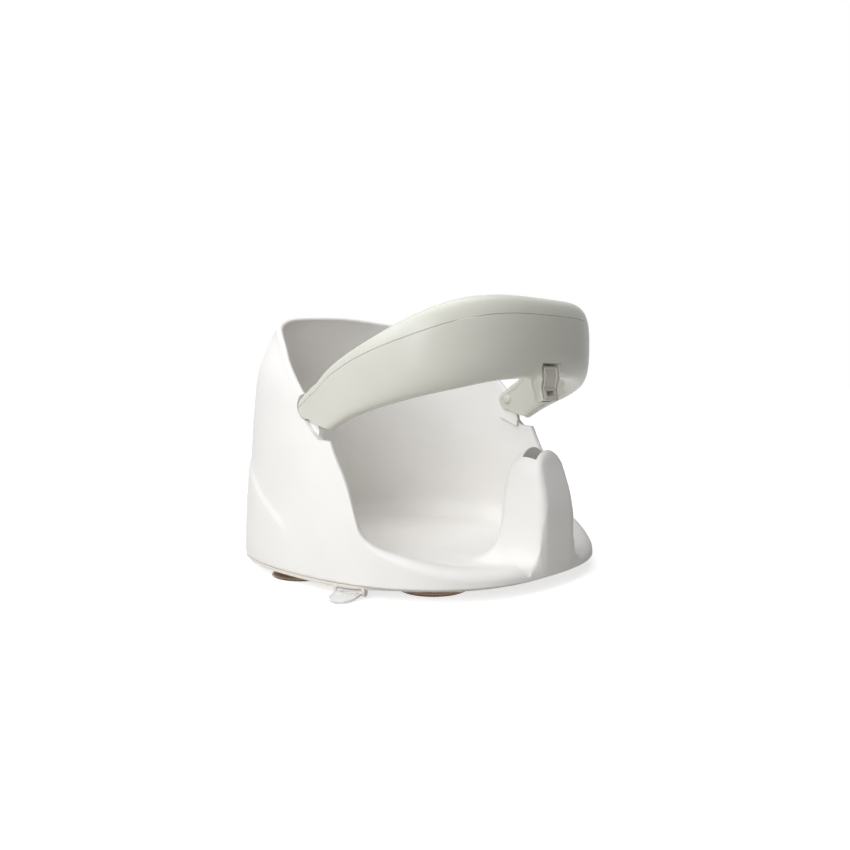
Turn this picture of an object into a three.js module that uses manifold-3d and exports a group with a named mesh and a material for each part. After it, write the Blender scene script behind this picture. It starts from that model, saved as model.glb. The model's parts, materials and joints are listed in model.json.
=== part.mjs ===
// Baby bath seat with a swing-up front bar, in millimetres, +Z up.
// The origin lies on the tub floor under the middle of the base, the crotch post is at -Y and the
// backrest at +Y. The bar is raised, as it is while a child is put in.
import * as THREE from 'three';
import { mergeVertices } from 'three/addons/utils/BufferGeometryUtils.js';
import Module from 'manifold-3d';

const wasm = await Module();
wasm.setup();

// Seat shell: one moulded bucket with a skirt, whose rim falls from the backrest to the leg openings
const seatHalfWidth = 153.8;
const seatHalfLength = 167.5;
const outlineRoundness = 2.4;
const backrestHeight = 246.5;
const wallThickness = 6;
const skirtProud = 2.5;
const skirtStepHeight = 5;
const skirtThickness = 5;
const skirtEdgeRadius = 1.6;
const floorTop = 18.6;
const floorThickness = 3.6;
const floorFillet = 26;
const legRimOuterRun = 12;
const legRimOuterDrop = 8.5;
const legRimInnerRun = 18;
// Share of the seat's half width and half length at each share of the backrest's height
const leanShares = [
  [0, 1, 1], [0.247, 0.992, 0.982], [0.401, 0.987, 0.946], [0.53, 0.982, 0.925],
  [0.611, 0.977, 0.907], [0.684, 0.975, 0.884], [0.765, 0.956, 0.866], [0.838, 0.914, 0.827],
  [0.879, 0.891, 0.8], [0.915, 0.865, 0.776], [0.947, 0.829, 0.746], [0.972, 0.79, 0.71],
  [1, 0.728, 0.663],
];
// Rim height as a share of the backrest's, by the angle in degrees from the middle of the back
const rimShares = [
  [0, 1], [30, 0.986], [45, 0.966], [60, 0.926], [67, 0.896], [72, 0.866], [75.4, 0.839],
  [78.8, 0.809], [83.4, 0.766], [87.6, 0.721], [91, 0.683], [98, 0.603], [104.4, 0.522],
  [106, 0.486], [108, 0.444], [110, 0.405], [111.9, 0.357], [113.4, 0.305], [114.5, 0.266],
  [115.5, 0.234], [117.5, 0.203], [120.9, 0.177], [123.8, 0.164], [128.1, 0.151],
  [133.5, 0.135], [141.5, 0.113], [152, 0.098], [165, 0.094], [180, 0.094],
];
// Height of the skirt's upper edge as a share of the wall's, by the same angle
const skirtLineShares = [
  [0, 0.42], [30, 0.42], [50, 0.395], [60, 0.355], [68, 0.3], [76, 0.26], [83.5, 0.214],
  [88.4, 0.156], [100, 0.12], [120, 0.12], [180, 0.12],
];
// From the first to the second angle the upper wall comes out flush with the skirt
const skirtFadeAngles = [98, 122];
// From the first to the second angle the thin rim widens to the soft crest of the leg opening
const legRimAngles = [112, 140];
// Steps of the shell's columns, as first angle, last angle and number, on one side of the seat
const columnSpans = [[0, 60, 8], [60, 100, 9], [100, 120, 11], [120, 180, 10]];

// Rows of one section along its fillet and rim, its wall and the inner side of its rim
const filletRowShares = [0, 0.25, 0.5, 0.75];
const wallRowShares = [0, 0.18, 0.38, 0.58, 0.8];
const innerRimRowShares = [1, 0.66, 0.33];

// Crotch post: rounded sections by height, with a vaulted top that slopes down to the front
const postTop = 121.4;
const postVaultRadius = 21.2;
const postCornerRadius = 8;
const postWall = 3;
const postHalfWidth = 20.2;
const postFrontSetback = 9.7;
const postDepth = 30.2;
const postFront = seatHalfLength - postFrontSetback;
const postBack = postFront - postDepth;
const postSkirtSetback = 0.1;
// Height, half width, front and back of each section, as shares of the post's top, half width,
// front and back
const postSectionShares = [
  [0.1, 2.24, 1.083, 0.735], [0.172, 1.82, 1.084, 0.804], [0.215, 1.535, 1.083, 0.86],
  [0.28, 1.386, 1.082, 0.904], [0.37, 1.317, 1.08, 0.932], [0.477, 1.272, 1.076, 0.946],
  [0.576, 1.228, 1.069, 0.954], [0.683, 1.178, 1.055, 0.961], [0.781, 1.124, 1.034, 0.97],
  [0.863, 1.079, 1.017, 0.98], [0.937, 1.05, 1.006, 0.991], [1.06, 1, 1, 1],
];
// Crown of the post's top from its back to its front: place and height, as shares of its length and top
const crownShares = [
  [-1.2, 0.6], [-0.4, 0.76], [-0.04, 0.89], [0.04, 0.933], [0.2, 0.971], [0.42, 0.992], [0.62, 0.991],
  [0.86, 0.98], [1, 0.962], [1.12, 0.922], [1.24, 0.855], [1.36, 0.76], [1.46, 0.62], [1.7, 0.4],
];
const slotHalfWidth = 16.3;
const slotFrontWall = 3.6;
const slotLength = 14.4;
const slotFront = postFront - slotFrontWall;
const slotBack = slotFront - slotLength;
const slotDepth = 32;
const catchHalfWidth = 5;
const catchDrop = 9.5;
const catchHeight = postTop - catchDrop;
const catchThickness = 2.4;
const catchReach = 5.8;

// Hinge of the bar in a notch of each side wall
const hingeY = -10;
const hingeZ = 157.5;
const knuckleRadius = 11.2;
const knuckleClearance = 1.1;
const lugRadius = 7.6;
const barSetback = 3.8;
const barHalfWidth = seatHalfWidth - barSetback;
const lugSetback = 4.2;
const lugThickness = 4.8;
const lugOuter = barHalfWidth - lugSetback;
const lugInner = lugOuter - lugThickness;
const pinRadius = 3;
const pinHeadRadius = 4.6;
const pinHeadThickness = 1.6;
const pinBlindDepth = 1.6;
const runningClearance = 0.3;
// Corners below the hinge, across and up from it, as shares of the knuckle's radius
const notchCornerShares = [[-0.33, -1.66], [-1.31, -2.53], [-2.6, -2.62], [-6, -2.62]];
const notchTopShares = [[-6, 3], [-1, 3]];
const notchArcAngles = [110, -76];
const lugArcAngles = [10, 200];
const endArcAngles = [75, -100];
const endReachShare = 5;
const lugCornerShares = [[-1.05, -1.9], [-0.9, -2.6], [1.3, -1.7], [1.3, -0.2]];
const endCornerShares = [[-0.95, -1.33], [-2.19, -1.67]];

// Bar: two shells along a horseshoe, joined at a seam
const barMiddleY = -14;
const barFrontSetback = 5.5;
const barHalfLength = seatHalfLength - barFrontSetback + barMiddleY;
const barStraight = 20;
const barWall = 3;
const barTop = 251;
const barBottom = 182;
const barDepth = 34;
const seamGap = 0.3;
const upperRingSteps = 7;
const lowerRingSteps = 14;
const barAngleSteps = [98, 90, 86.5, 83, 78, 72, 65, 57, 49, 41, 33, 25, 17, 9, 3];
// By the angle in degrees from the front: shares of the top and bottom heights and of the depth,
// the section's roundness, and the seam's distance below the top as a share of the section's height
const barSectionShares = [
  [0, 1, 1, 1, 2.8, 0.23], [19.4, 0.998, 0.984, 0.98, 2.8, 0.23], [36.9, 0.977, 0.948, 0.9, 2.9, 0.24],
  [55, 0.92, 0.903, 0.74, 3.1, 0.24], [73.8, 0.827, 0.834, 0.5, 3.8, 0.18],
  [84.5, 0.756, 0.757, 0.4, 5, 0.16],
  [90, 0.693, 0.68, 0.37, 6, 0.15], [98, 0.64, 0.62, 0.37, 6, 0.15],
];

// Latch boss under the front of the bar, leaning back from its lower end, with a sprung lever
// Its foot lies in the slot when the bar is turned down
const barClosing = 22;
const bossClosedSetback = 8.83;
const bossClosedDrop = 5.32;
const closing = THREE.MathUtils.degToRad(barClosing);
const bossClosed = [bossClosedSetback - slotFront - hingeY, catchHeight - bossClosedDrop - hingeZ];
const bossY = hingeY + bossClosed[0] * Math.cos(closing) + bossClosed[1] * Math.sin(closing);
const bossZ = hingeZ - bossClosed[0] * Math.sin(closing) + bossClosed[1] * Math.cos(closing);
const bossLean = 14;
const bossHalfWidth = 13.2;
const bossRootHalfWidth = 15.6;
const bossHalfDepth = 4.5;
const bossRoot = 13.4;
// The boss, its pocket and the lever lean forward above the foot: height and reach, as shares
const bossForward = 6.4;
const bossForwardShares = [[0, 0], [0.3, 0], [0.58, 0.9], [1, 1]];
const bossHeight = (barBottom - bossZ) / Math.cos(THREE.MathUtils.degToRad(bossLean)) + bossRoot;
const pocketHalfWidth = 10.2;
const pocketBack = 1.9;
const pocketRoot = 3.6;
const pocketHeight = bossHeight - pocketRoot;
const leverHalfWidth = 9.8;
const leverFront = -3.7;
const leverThickness = 2.6;
const leverFoot = 0.6;
const leverPivotDrop = 7;
const leverPivotHeight = bossHeight - leverPivotDrop;
const leverPivotSetback = 0.9;
const leverBarrelRadius = 2.2;
const leverPinRadius = 1.1;
const leverPinHalfLength = 12.4;
const leverRibWidth = 1.6;
const leverRibHeight = 0.7;
const windowHalfWidth = 6;
const windowBottom = 3.8;
const windowTop = 8.4;
const springGapHalfWidth = 3;
const springWire = 0.35;
const springRadius = 1.75;
const springTurns = 3;
const springTurnSteps = 9;
const springLeg = 4;

// Base plate under the skirt, with suction cups, screws and the ears of the release tabs
const plateBottom = 8;
const plateThickness = 3.3;
const plateInset = 1.2;
// The plate draws in further at the front, between these angles in degrees from the back
const plateFrontInset = 8;
const plateFrontAngles = [112, 127];
const plateEdgeRadius = 1.4;
const cupRadius = 30.4;
const cupLipWidth = 2.2;
const cupHeight = 7.6;
const cupNeckRadius = 6;
const cupHeadRadius = 8.2;
const cupHeadThickness = 2.6;
const cupWall = 2.6;
const cupLipHeight = 0.9;
// The cup's dome inside and outside: radius and height as shares of the rim's and the ceiling's or shoulder's
const cupInnerShares = [[0.28, 0.98], [0.62, 0.68], [0.85, 0.24]];
const cupOuterShares = [[0.92, 0.34], [0.7, 0.75], [0.42, 1]];
// Places of the cups and screws as shares of the seat's half width and half length
const cupPlaceShares = [[0.494, -0.531], [0.767, 0.197]];
const rearCupShare = 0.7045;
const screwPlaceShares = [[0.403, -0.764], [0.858, -0.131], [0.403, 0.788]];
const screwRadius = 1.6;
const screwHeadRadius = 3.5;
const screwHeadThickness = 1.7;
const screwLength = 8;
const screwBossRadius = 4.6;

// Release tabs at the sides, hinged on a pin between two ears
const tabPlaceShares = [0.9467, -0.3552];
const tabX = seatHalfWidth * tabPlaceShares[0];
const tabY = seatHalfLength * tabPlaceShares[1];
const tabTurn = -14;
const tabAxisHeight = 5.2;
const tabDroop = 9.5;
const tabLength = 23;
const tabHalfWidth = 12;
const tabThickness = 1.8;
const tabBarrelRadius = 2.4;
const tabPinRadius = 1.1;
const earThickness = 2.6;
const earRadius = 2.7;
const tabRidgeHeight = 0.6;
const tabRidgeWidth = 1.2;
const tabRidgePlaces = [4.1, 6.7];

const overrun = 2;
const quarter = 90;
const cornerSteps = 5;
const vaultSteps = 12;
const facets = 24;
const smallFacets = 12;

// A table's columns at x, smooth through its rows
function smoothTable(rows, x) {
  let i = 0;
  while (i < rows.length - 2 && x > rows[i + 1][0]) i += 1;
  const a = rows[i];
  const b = rows[i + 1];
  const before = rows[i === 0 ? i : i - 1];
  const after = rows[i + 2 < rows.length ? i + 2 : i + 1];
  const span = b[0] - a[0];
  const t = (x - a[0]) / span;
  return a.slice(1).map((start, k) => {
    const end = b[k + 1];
    const startSlope = (end - before[k + 1]) / (b[0] - before[0]) * span;
    const endSlope = (after[k + 1] - start) / (after[0] - a[0]) * span;
    const bend = startSlope * t * (1 - t) ** 2 - endSlope * t * t * (1 - t);
    return start + (end - start) * t * t * (3 - 2 * t) + bend;
  });
}

function between([first, last], x) {
  return THREE.MathUtils.smoothstep(x, first, last);
}

// A closed solid from rings of points, each ring with as many points as the next; the two ends are
// closed with a fan around their middle
function loft(rings) {
  const count = rings[0].length;
  const points = rings.flat();
  const faces = [];
  for (let r = 0; r < rings.length - 1; r += 1) {
    const next = r + 1;
    for (let k = 0; k < count; k += 1) {
      const l = (k + 1) % count;
      const [a, b, c, d] = [r * count + k, r * count + l, next * count + l, next * count + k];
      faces.push(a, b, c, a, c, d);
    }
  }
  const last = (rings.length - 1) * count;
  const flat = (ring) => THREE.ShapeUtils.triangulateShape(flatten(ring), []);
  for (const [a, b, c] of flat(rings[0])) faces.push(c, b, a);
  for (const [a, b, c] of flat(rings.at(-1))) faces.push(last + a, last + b, last + c);
  return facesToGeometry(points, faces);
}

// The ring's points on its own plane, turning the same way as the ring
function flatten(ring) {
  const origin = ring[0];
  const normal = new THREE.Vector3();
  for (let k = 1; k < ring.length - 1; k += 1) {
    const u = ring[k].clone().sub(origin);
    normal.add(u.cross(ring[k + 1].clone().sub(origin)));
  }
  normal.normalize();
  const across = ring[1].clone().sub(origin).normalize();
  const up = normal.clone().cross(across);
  return ring.map((p) => {
    const d = p.clone().sub(origin);
    return new THREE.Vector2(d.dot(across), d.dot(up));
  });
}

function facesToGeometry(points, faces) {
  const geometry = new THREE.BufferGeometry();
  geometry.setAttribute('position', new THREE.Float32BufferAttribute(points.flatMap((p) => p.toArray()), 3));
  geometry.setIndex(faces);
  return geometry;
}

function solid(geometry) {
  const plain = geometry.clone();
  plain.deleteAttribute('normal');
  plain.deleteAttribute('uv');
  const merged = mergeVertices(plain);
  const mesh = new wasm.Mesh({
    numProp: 3,
    vertProperties: new Float32Array(merged.attributes.position.array),
    triVerts: new Uint32Array(merged.index.array),
  });
  mesh.merge();
  return new wasm.Manifold(mesh);
}

function geometryOf(manifold) {
  const mesh = manifold.getMesh();
  const geometry = new THREE.BufferGeometry();
  geometry.setAttribute('position', new THREE.BufferAttribute(new Float32Array(mesh.vertProperties), 3));
  geometry.setIndex(new THREE.BufferAttribute(new Uint32Array(mesh.triVerts), 1));
  return geometry;
}

// Solids of everyday shapes, placed by their middle
function block(width, depth, height, x, y, z) {
  return solid(new THREE.BoxGeometry(width, depth, height).translate(x, y, z));
}

function upright(radius, height, x, y, bottom, sides = facets) {
  const geometry = new THREE.CylinderGeometry(radius, radius, height, sides);
  return solid(geometry.rotateX(Math.PI / 2).translate(x, y, bottom + height / 2));
}

function alongX(radius, first, last, y, z, sides = facets) {
  const geometry = new THREE.CylinderGeometry(radius, radius, Math.abs(last - first), sides);
  return solid(geometry.rotateZ(Math.PI / 2).translate((first + last) / 2, y, z));
}

function alongY(radius, first, last, x, z, sides = facets) {
  const geometry = new THREE.CylinderGeometry(radius, radius, Math.abs(last - first), sides);
  return solid(geometry.translate(x, (first + last) / 2, z));
}

// A side outline in Y and Z, extruded from one X to another
function sidePrism(outline, first, last) {
  const shape = new THREE.Shape(outline.map(([y, z]) => new THREE.Vector2(y, z)));
  const geometry = new THREE.ExtrudeGeometry(shape, { depth: Math.abs(last - first), bevelEnabled: false });
  geometry.rotateY(Math.PI / 2).rotateX(Math.PI / 2);
  return solid(geometry.translate(Math.min(first, last), 0, 0));
}

function arcPoints(y, z, radius, from, to, steps = 14) {
  return Array.from({ length: steps + 1 }, (_, k) => {
    const angle = THREE.MathUtils.degToRad(from + (to - from) * k / steps);
    return [y + radius * Math.cos(angle), z + radius * Math.sin(angle)];
  });
}

// Distance of the rounded outline from the middle, at an angle in radians from the back
function outlineDistance(angle, halfWidth, halfLength) {
  const across = (Math.abs(Math.sin(angle)) / halfWidth) ** outlineRoundness;
  const along = (Math.abs(Math.cos(angle)) / halfLength) ** outlineRoundness;
  return (across + along) ** (-1 / outlineRoundness);
}

function wallDistance(angle, z, proud) {
  const [widthShare, lengthShare] = smoothTable(leanShares, z / backrestHeight);
  return outlineDistance(angle, seatHalfWidth * widthShare + proud, seatHalfLength * lengthShare + proud);
}

const skirtBottom = plateBottom + plateThickness + seamGap;
const floorBottom = floorTop - floorThickness;

// One upright section of the shell at an angle from the back, as [distance, height] from the floor's
// middle over the rim and down to the middle of its underside
function shellSection(degrees) {
  const angle = THREE.MathUtils.degToRad(degrees);
  const rim = backrestHeight * smoothTable(rimShares, degrees)[0];
  const legShare = between(legRimAngles, degrees);
  const blend = (thin, soft) => THREE.MathUtils.lerp(thin, soft, legShare);
  const outerRun = blend(wallThickness / 2, legRimOuterRun);
  const outerDrop = blend(wallThickness / 2, legRimOuterDrop);
  const innerRun = blend(wallThickness / 2, legRimInnerRun);
  const innerDepth = rim - floorTop;
  const innerDrop = innerDepth * outerDrop / (innerDepth + outerDrop) * blend(1, 1 / 2);
  const filletDrop = (innerDepth - innerDrop) * floorFillet / (innerDepth - innerDrop + floorFillet);
  const faded = between(skirtFadeAngles, degrees);
  const wallTop = rim - outerDrop;
  const edgeTop = skirtBottom + skirtEdgeRadius;
  const lineRise = (wallTop - edgeTop) * smoothTable(skirtLineShares, degrees)[0];
  const line = edgeTop + lineRise;
  const step = skirtStepHeight * lineRise / (skirtStepHeight + lineRise) / 2;
  const wall = (z, proudShare) => wallDistance(angle, z, skirtProud * Math.max(proudShare, faded));
  const section = [];

  const inner = outerRun + innerRun;
  const filletTop = floorTop + filletDrop;
  const filletEnd = wall(filletTop, 0) - inner - floorFillet;
  section.push([filletEnd / 2, floorTop]);
  for (const share of filletRowShares) {
    const turn = share * Math.PI / 2;
    section.push([filletEnd + floorFillet * Math.sin(turn), filletTop - filletDrop * Math.cos(turn)]);
  }
  for (const share of wallRowShares) {
    const z = THREE.MathUtils.lerp(filletTop, rim - innerDrop, share);
    section.push([wall(z, 0) - inner, z]);
  }
  for (const share of innerRimRowShares) {
    const turn = share * Math.PI / 2;
    const z = rim - innerDrop * (1 - Math.cos(turn));
    section.push([wall(rim - outerDrop, 0) - outerRun - innerRun * Math.sin(turn), z]);
  }
  for (const share of [...filletRowShares, 1]) {
    const turn = share * Math.PI / 2;
    section.push([wall(wallTop, 0) - outerRun * (1 - Math.sin(turn)),
      rim - outerDrop * (1 - Math.cos(turn))]);
  }
  for (const share of wallRowShares.toReversed().slice(0, -1)) {
    const z = THREE.MathUtils.lerp(line + step, wallTop, share);
    section.push([wall(z, 0), z]);
  }
  section.push([wall(line + step, 0), line + step]);
  section.push([wall(line - step, 1), line - step]);
  section.push([wall(edgeTop, 1), edgeTop]);
  section.push([wall(skirtBottom, 1) - skirtEdgeRadius, skirtBottom]);
  section.push([wall(skirtBottom, 1) - skirtThickness, skirtBottom]);
  section.push([wall(skirtBottom, 1) - skirtThickness, floorBottom]);
  section.push([filletEnd / 2, floorBottom]);
  return section;
}

function shellAngles() {
  const side = columnSpans.flatMap(([first, last, count]) => (
    Array.from({ length: count }, (_, k) => first + (last - first) * k / count)));
  return [...side, ...side.map((degrees) => -degrees).slice(1).concat(-180).reverse()];
}

// The shell as columns around the middle: at positive angles the wall is on the -X side
function shellSolid() {
  const columns = shellAngles().map((degrees) => {
    const angle = THREE.MathUtils.degToRad(degrees);
    return shellSection(Math.abs(degrees)).map(([distance, z]) => (
      new THREE.Vector3(-distance * Math.sin(angle), distance * Math.cos(angle), z)));
  });
  const rows = columns[0].length;
  const points = [...columns.flat(), new THREE.Vector3(0, 0, floorTop), new THREE.Vector3(0, 0, floorBottom)];
  const [top, bottom] = [points.length - 2, points.length - 1];
  const faces = [];
  columns.forEach((_, c) => {
    const here = c * rows;
    const next = (c + 1) % columns.length * rows;
    faces.push(top, here, next, bottom, next + rows - 1, here + rows - 1);
    for (let r = 0; r < rows - 1; r += 1) {
      faces.push(here + r, here + r + 1, next + r + 1, here + r, next + r + 1, next + r);
    }
  });
  return solid(facesToGeometry(points, faces));
}

// A rounded rectangle in plan from front to back, as a ring at one height
function roundedRing(halfWidth, front, back, radius, z) {
  const corners = [
    [halfWidth - radius, -back - radius], [-halfWidth + radius, -back - radius],
    [-halfWidth + radius, -front + radius], [halfWidth - radius, -front + radius],
  ];
  return corners.flatMap(([x, y], k) => arcPoints(x, y, radius, k * quarter, (k + 1) * quarter, cornerSteps)
    .map(([px, py]) => new THREE.Vector3(px, py, z)));
}

// The post's body, drawn in by an inset and up to a share of its top; a hollow starts below its foot
function postLoft(inset, sink, lastShare) {
  const rows = postSectionShares.filter(([height]) => height <= lastShare);
  return solid(loft(rows.map(([height, width, front, back], k) => roundedRing(
    postHalfWidth * width - inset, postFront * front - inset, postBack * back + inset,
    postCornerRadius - inset, postTop * height - (k === 0 ? sink : 0)))));
}

// The vault that rounds the post's top, crowned from back to front
function postVault() {
  const shoulder = THREE.MathUtils.radToDeg(Math.asin(postHalfWidth / postVaultRadius));
  const fall = postTop * postSectionShares.at(-1)[0];
  const reach = postHalfWidth + fall / Math.tan(THREE.MathUtils.degToRad(shoulder));
  return solid(loft(crownShares.map(([along, height]) => {
    const y = -THREE.MathUtils.lerp(postBack, postFront, along);
    const middle = postTop * height - postVaultRadius;
    const arc = arcPoints(0, middle, postVaultRadius, quarter - shoulder, quarter + shoulder, vaultSteps);
    const foot = arc[0][1] - fall;
    return [[reach, foot], ...arc, [-reach, foot]].map(([x, z]) => new THREE.Vector3(x, y, z));
  })));
}

// A level ring along the skirt's outline at a height, drawn in by an inset
function outlineRing(inset, z, frontInset = 0) {
  return shellAngles().map((degrees) => {
    const angle = THREE.MathUtils.degToRad(degrees);
    const drawnIn = inset + frontInset * between(plateFrontAngles, Math.abs(degrees));
    const distance = wallDistance(angle, skirtBottom, skirtProud) - drawnIn;
    return new THREE.Vector3(-distance * Math.sin(angle), distance * Math.cos(angle), z);
  });
}

// What stands over the skirt's outline; it keeps the post's foot from jutting out past the skirt
function skirtEnvelope() {
  return solid(loft([outlineRing(postSkirtSetback + skirtEdgeRadius, skirtBottom),
    outlineRing(postSkirtSetback, skirtBottom + skirtEdgeRadius),
    outlineRing(postSkirtSetback, postTop + overrun)]));
}

// The catch on the front wall of the slot, which snaps into the window of the bar's lever
function catchRib() {
  const front = -slotFront - overrun;
  const tip = -slotFront + catchReach;
  const half = catchThickness / 2;
  return sidePrism([[front, catchHeight - half], [tip, catchHeight - half], [tip, catchHeight],
    [front, catchHeight + 2 * half]], -catchHalfWidth, catchHalfWidth);
}

// The notch in the side wall that the bar's knuckle and its lower edge turn in
function notchOutline() {
  const radius = knuckleRadius + knuckleClearance;
  return [
    ...arcPoints(hingeY, hingeZ, radius, ...notchArcAngles),
    ...notchCornerShares.map(([y, z]) => [hingeY + knuckleRadius * y, hingeZ + knuckleRadius * z]),
    ...notchTopShares.map(([y, z]) => [hingeY + knuckleRadius * y, hingeZ + knuckleRadius * z]),
  ];
}

// The lug that rises in the notch from the wall's edge and carries the pin
function hingeLug(side) {
  const outline = [
    ...arcPoints(hingeY, hingeZ, lugRadius, ...lugArcAngles),
    ...lugCornerShares.map(([y, z]) => [hingeY + knuckleRadius * y, hingeZ + knuckleRadius * z]),
  ];
  const lug = sidePrism(outline, side * lugInner, side * lugOuter);
  return lug.subtract(alongX(pinRadius + runningClearance, side * (lugInner - overrun),
    side * (lugOuter + overrun), hingeY, hingeZ, smallFacets));
}

// Places on both sides from their shares on one
function mirrored(shares) {
  return shares.flatMap(([across, along]) => (
    [1, -1].map((side) => [side * across * seatHalfWidth, along * seatHalfLength])));
}

const screws = mirrored(screwPlaceShares);
const cups = [...mirrored(cupPlaceShares), [0, rearCupShare * seatHalfLength]];

function seatShell() {
  const slotMiddle = -(slotFront + slotBack) / 2;
  const slotBottom = postTop - slotDepth;
  const post = postLoft(0, 0, Infinity).intersect(postVault()).intersect(skirtEnvelope());
  let seat = shellSolid().add(post);
  seat = seat.subtract(postLoft(postWall, overrun, (slotBottom + postCornerRadius) / postTop));
  seat = seat.subtract(block(2 * slotHalfWidth, slotFront - slotBack, slotDepth + overrun, 0, slotMiddle,
    slotBottom + (slotDepth + overrun) / 2));
  seat = seat.add(catchRib());
  for (const side of [-1, 1]) {
    const outer = side * (seatHalfWidth + skirtProud + overrun);
    seat = seat.subtract(sidePrism(notchOutline(), side * (lugInner - 2 * wallThickness), outer));
    seat = seat.add(hingeLug(side));
  }
  for (const [x, y] of screws) {
    const height = floorBottom + overrun / 2 - skirtBottom;
    const boss = upright(screwBossRadius, height, x, y, skirtBottom, smallFacets);
    seat = seat.add(boss).subtract(upright(screwRadius + runningClearance, height + overrun / 2, x, y,
      skirtBottom - overrun / 2, smallFacets));
  }
  return seat;
}

// The bar's outer face in plan, by the angle in degrees from the front, and its inward direction
function barPlace(degrees) {
  const side = Math.sign(degrees);
  if (Math.abs(degrees) > quarter) {
    const share = (Math.abs(degrees) - quarter) / (barSectionShares.at(-1)[0] - quarter);
    return { point: new THREE.Vector3(side * barHalfWidth, barMiddleY + barStraight * share, 0),
      inward: new THREE.Vector3(-side, 0, 0) };
  }
  const angle = THREE.MathUtils.degToRad(Math.abs(degrees));
  const [across, along] = [Math.sin(angle), Math.cos(angle)].map((v) => v ** (2 / outlineRoundness));
  const point = new THREE.Vector3(side * barHalfWidth * across, barMiddleY - barHalfLength * along, 0);
  const inward = new THREE.Vector3(-side * across ** (outlineRoundness - 1) / barHalfWidth,
    along ** (outlineRoundness - 1) / barHalfLength, 0);
  return { point, inward: inward.normalize() };
}

// Half of the bar's hollow section at an angle, above or below the seam, as one ring
function barRing(degrees, upper) {
  const row = smoothTable(barSectionShares, Math.abs(degrees));
  const [topShare, bottomShare, depthShare, roundness, seamShare] = row;
  const [top, bottom, depth] = [barTop * topShare, barBottom * bottomShare, barDepth * depthShare];
  const { point, inward } = barPlace(degrees);
  const middle = (top + bottom) / 2;
  const seam = top - (top - bottom) * seamShare + (upper ? seamGap : -seamGap) / 2;
  const curve = (inset, steps, forward) => {
    const halfHeight = (top - bottom) / 2 - inset;
    const halfDepth = depth / 2 - inset;
    const start = Math.asin(((seam - middle) / halfHeight) ** (roundness / 2));
    const [from, to] = upper ? [start, Math.PI - start] : [start, -Math.PI - start];
    return Array.from({ length: steps + 1 }, (_, k) => {
      const angle = THREE.MathUtils.lerp(from, to, (forward ? k : steps - k) / steps);
      const [c, s] = [Math.cos(angle), Math.sin(angle)];
      const away = halfDepth * Math.sign(c) * Math.abs(c) ** (2 / roundness);
      const rise = halfHeight * Math.sign(s) * Math.abs(s) ** (2 / roundness);
      return point.clone().addScaledVector(inward, depth / 2 - away).setZ(middle + rise);
    });
  };
  const steps = upper ? upperRingSteps : lowerRingSteps;
  return [...curve(0, steps, !upper), ...curve(barWall, steps, upper)];
}

function barLoft(upper) {
  const angles = [...barAngleSteps.map((degrees) => -degrees), 0, ...barAngleSteps.toReversed()];
  return solid(loft(angles.map((degrees) => barRing(degrees, upper))));
}

// What lies past the rounded end of the arm, seen from the side
function endCutter(side) {
  const reach = knuckleRadius * endReachShare;
  const arc = arcPoints(hingeY, hingeZ, knuckleRadius, ...endArcAngles);
  const corners = endCornerShares.map(([y, z]) => [hingeY + knuckleRadius * y, hingeZ + knuckleRadius * z]);
  const outline = [
    ...arc, ...corners, [corners.at(-1)[0], hingeZ - reach], [hingeY + reach, hingeZ - reach],
    [hingeY + reach, hingeZ + reach], [arc[0][0], hingeZ + reach],
  ];
  return sidePrism(outline, side * (barHalfWidth - barDepth), side * (barHalfWidth + overrun));
}

function trimmedArms(shell) {
  let trimmed = shell;
  for (const side of [-1, 1]) {
    const first = side * (barHalfWidth - barDepth);
    const blindEnd = side * (barHalfWidth - barWall + pinBlindDepth);
    trimmed = trimmed.subtract(endCutter(side));
    trimmed = trimmed.subtract(alongX(pinRadius + runningClearance, first, blindEnd, hingeY, hingeZ));
  }
  return trimmed;
}

// Places a solid made in the boss's own frame: its foot at zero and its height along Z
function inBoss(manifold) {
  const lean = new THREE.Matrix4().makeRotationX(-THREE.MathUtils.degToRad(bossLean));
  const pose = lean.setPosition(0, bossY, bossZ);
  return manifold.transform(pose.toArray());
}

// How far the boss and its lever reach forward at a height above the foot
function bossReach(height) {
  const share = height / bossHeight;
  const next = Math.max(bossForwardShares.findIndex(([up]) => up >= share), 1);
  const [[low, from], [high, to]] = bossForwardShares.slice(next - 1, next + 1);
  return bossForward * THREE.MathUtils.lerp(from, to, (share - low) / (high - low));
}

// Where the lever's pin lies in the boss, front to back
function leverPivotY() {
  return -leverPivotSetback - bossReach(leverPivotHeight);
}

// The heights between two others at which the boss bends, with both ends
function bossHeights(first, last) {
  const bends = bossForwardShares.map(([up]) => bossHeight * up).filter((up) => up > first && up < last);
  return [first, ...bends, last];
}

// A ring across the boss at a height, from its front to its back
function bossRing(half, front, back, height) {
  return [[half, front], [half, back], [-half, back], [-half, front]]
    .map(([x, y]) => new THREE.Vector3(x, y, height));
}

function boss() {
  return inBoss(solid(loft(bossHeights(0, bossHeight).map((height) => bossRing(
    THREE.MathUtils.lerp(bossHalfWidth, bossRootHalfWidth, bossReach(height) / bossForward),
    -bossHalfDepth - bossReach(height), bossHalfDepth, height)))));
}

function bossPocket() {
  const front = -bossHalfDepth - bossForward - overrun;
  const rings = bossHeights(0, pocketHeight).map((height) => bossRing(pocketHalfWidth, front,
    pocketBack - bossReach(height), height));
  rings.unshift(bossRing(pocketHalfWidth, front, pocketBack, -overrun));
  const bore = alongX(leverPinRadius + runningClearance, -leverPinHalfLength - runningClearance,
    leverPinHalfLength + runningClearance, leverPivotY(), leverPivotHeight, smallFacets);
  return inBoss(solid(loft(rings)).add(bore));
}

function barUpperShell() {
  return trimmedArms(barLoft(true));
}

function barLowerShell() {
  return trimmedArms(barLoft(false)).add(boss()).subtract(bossPocket());
}

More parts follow.
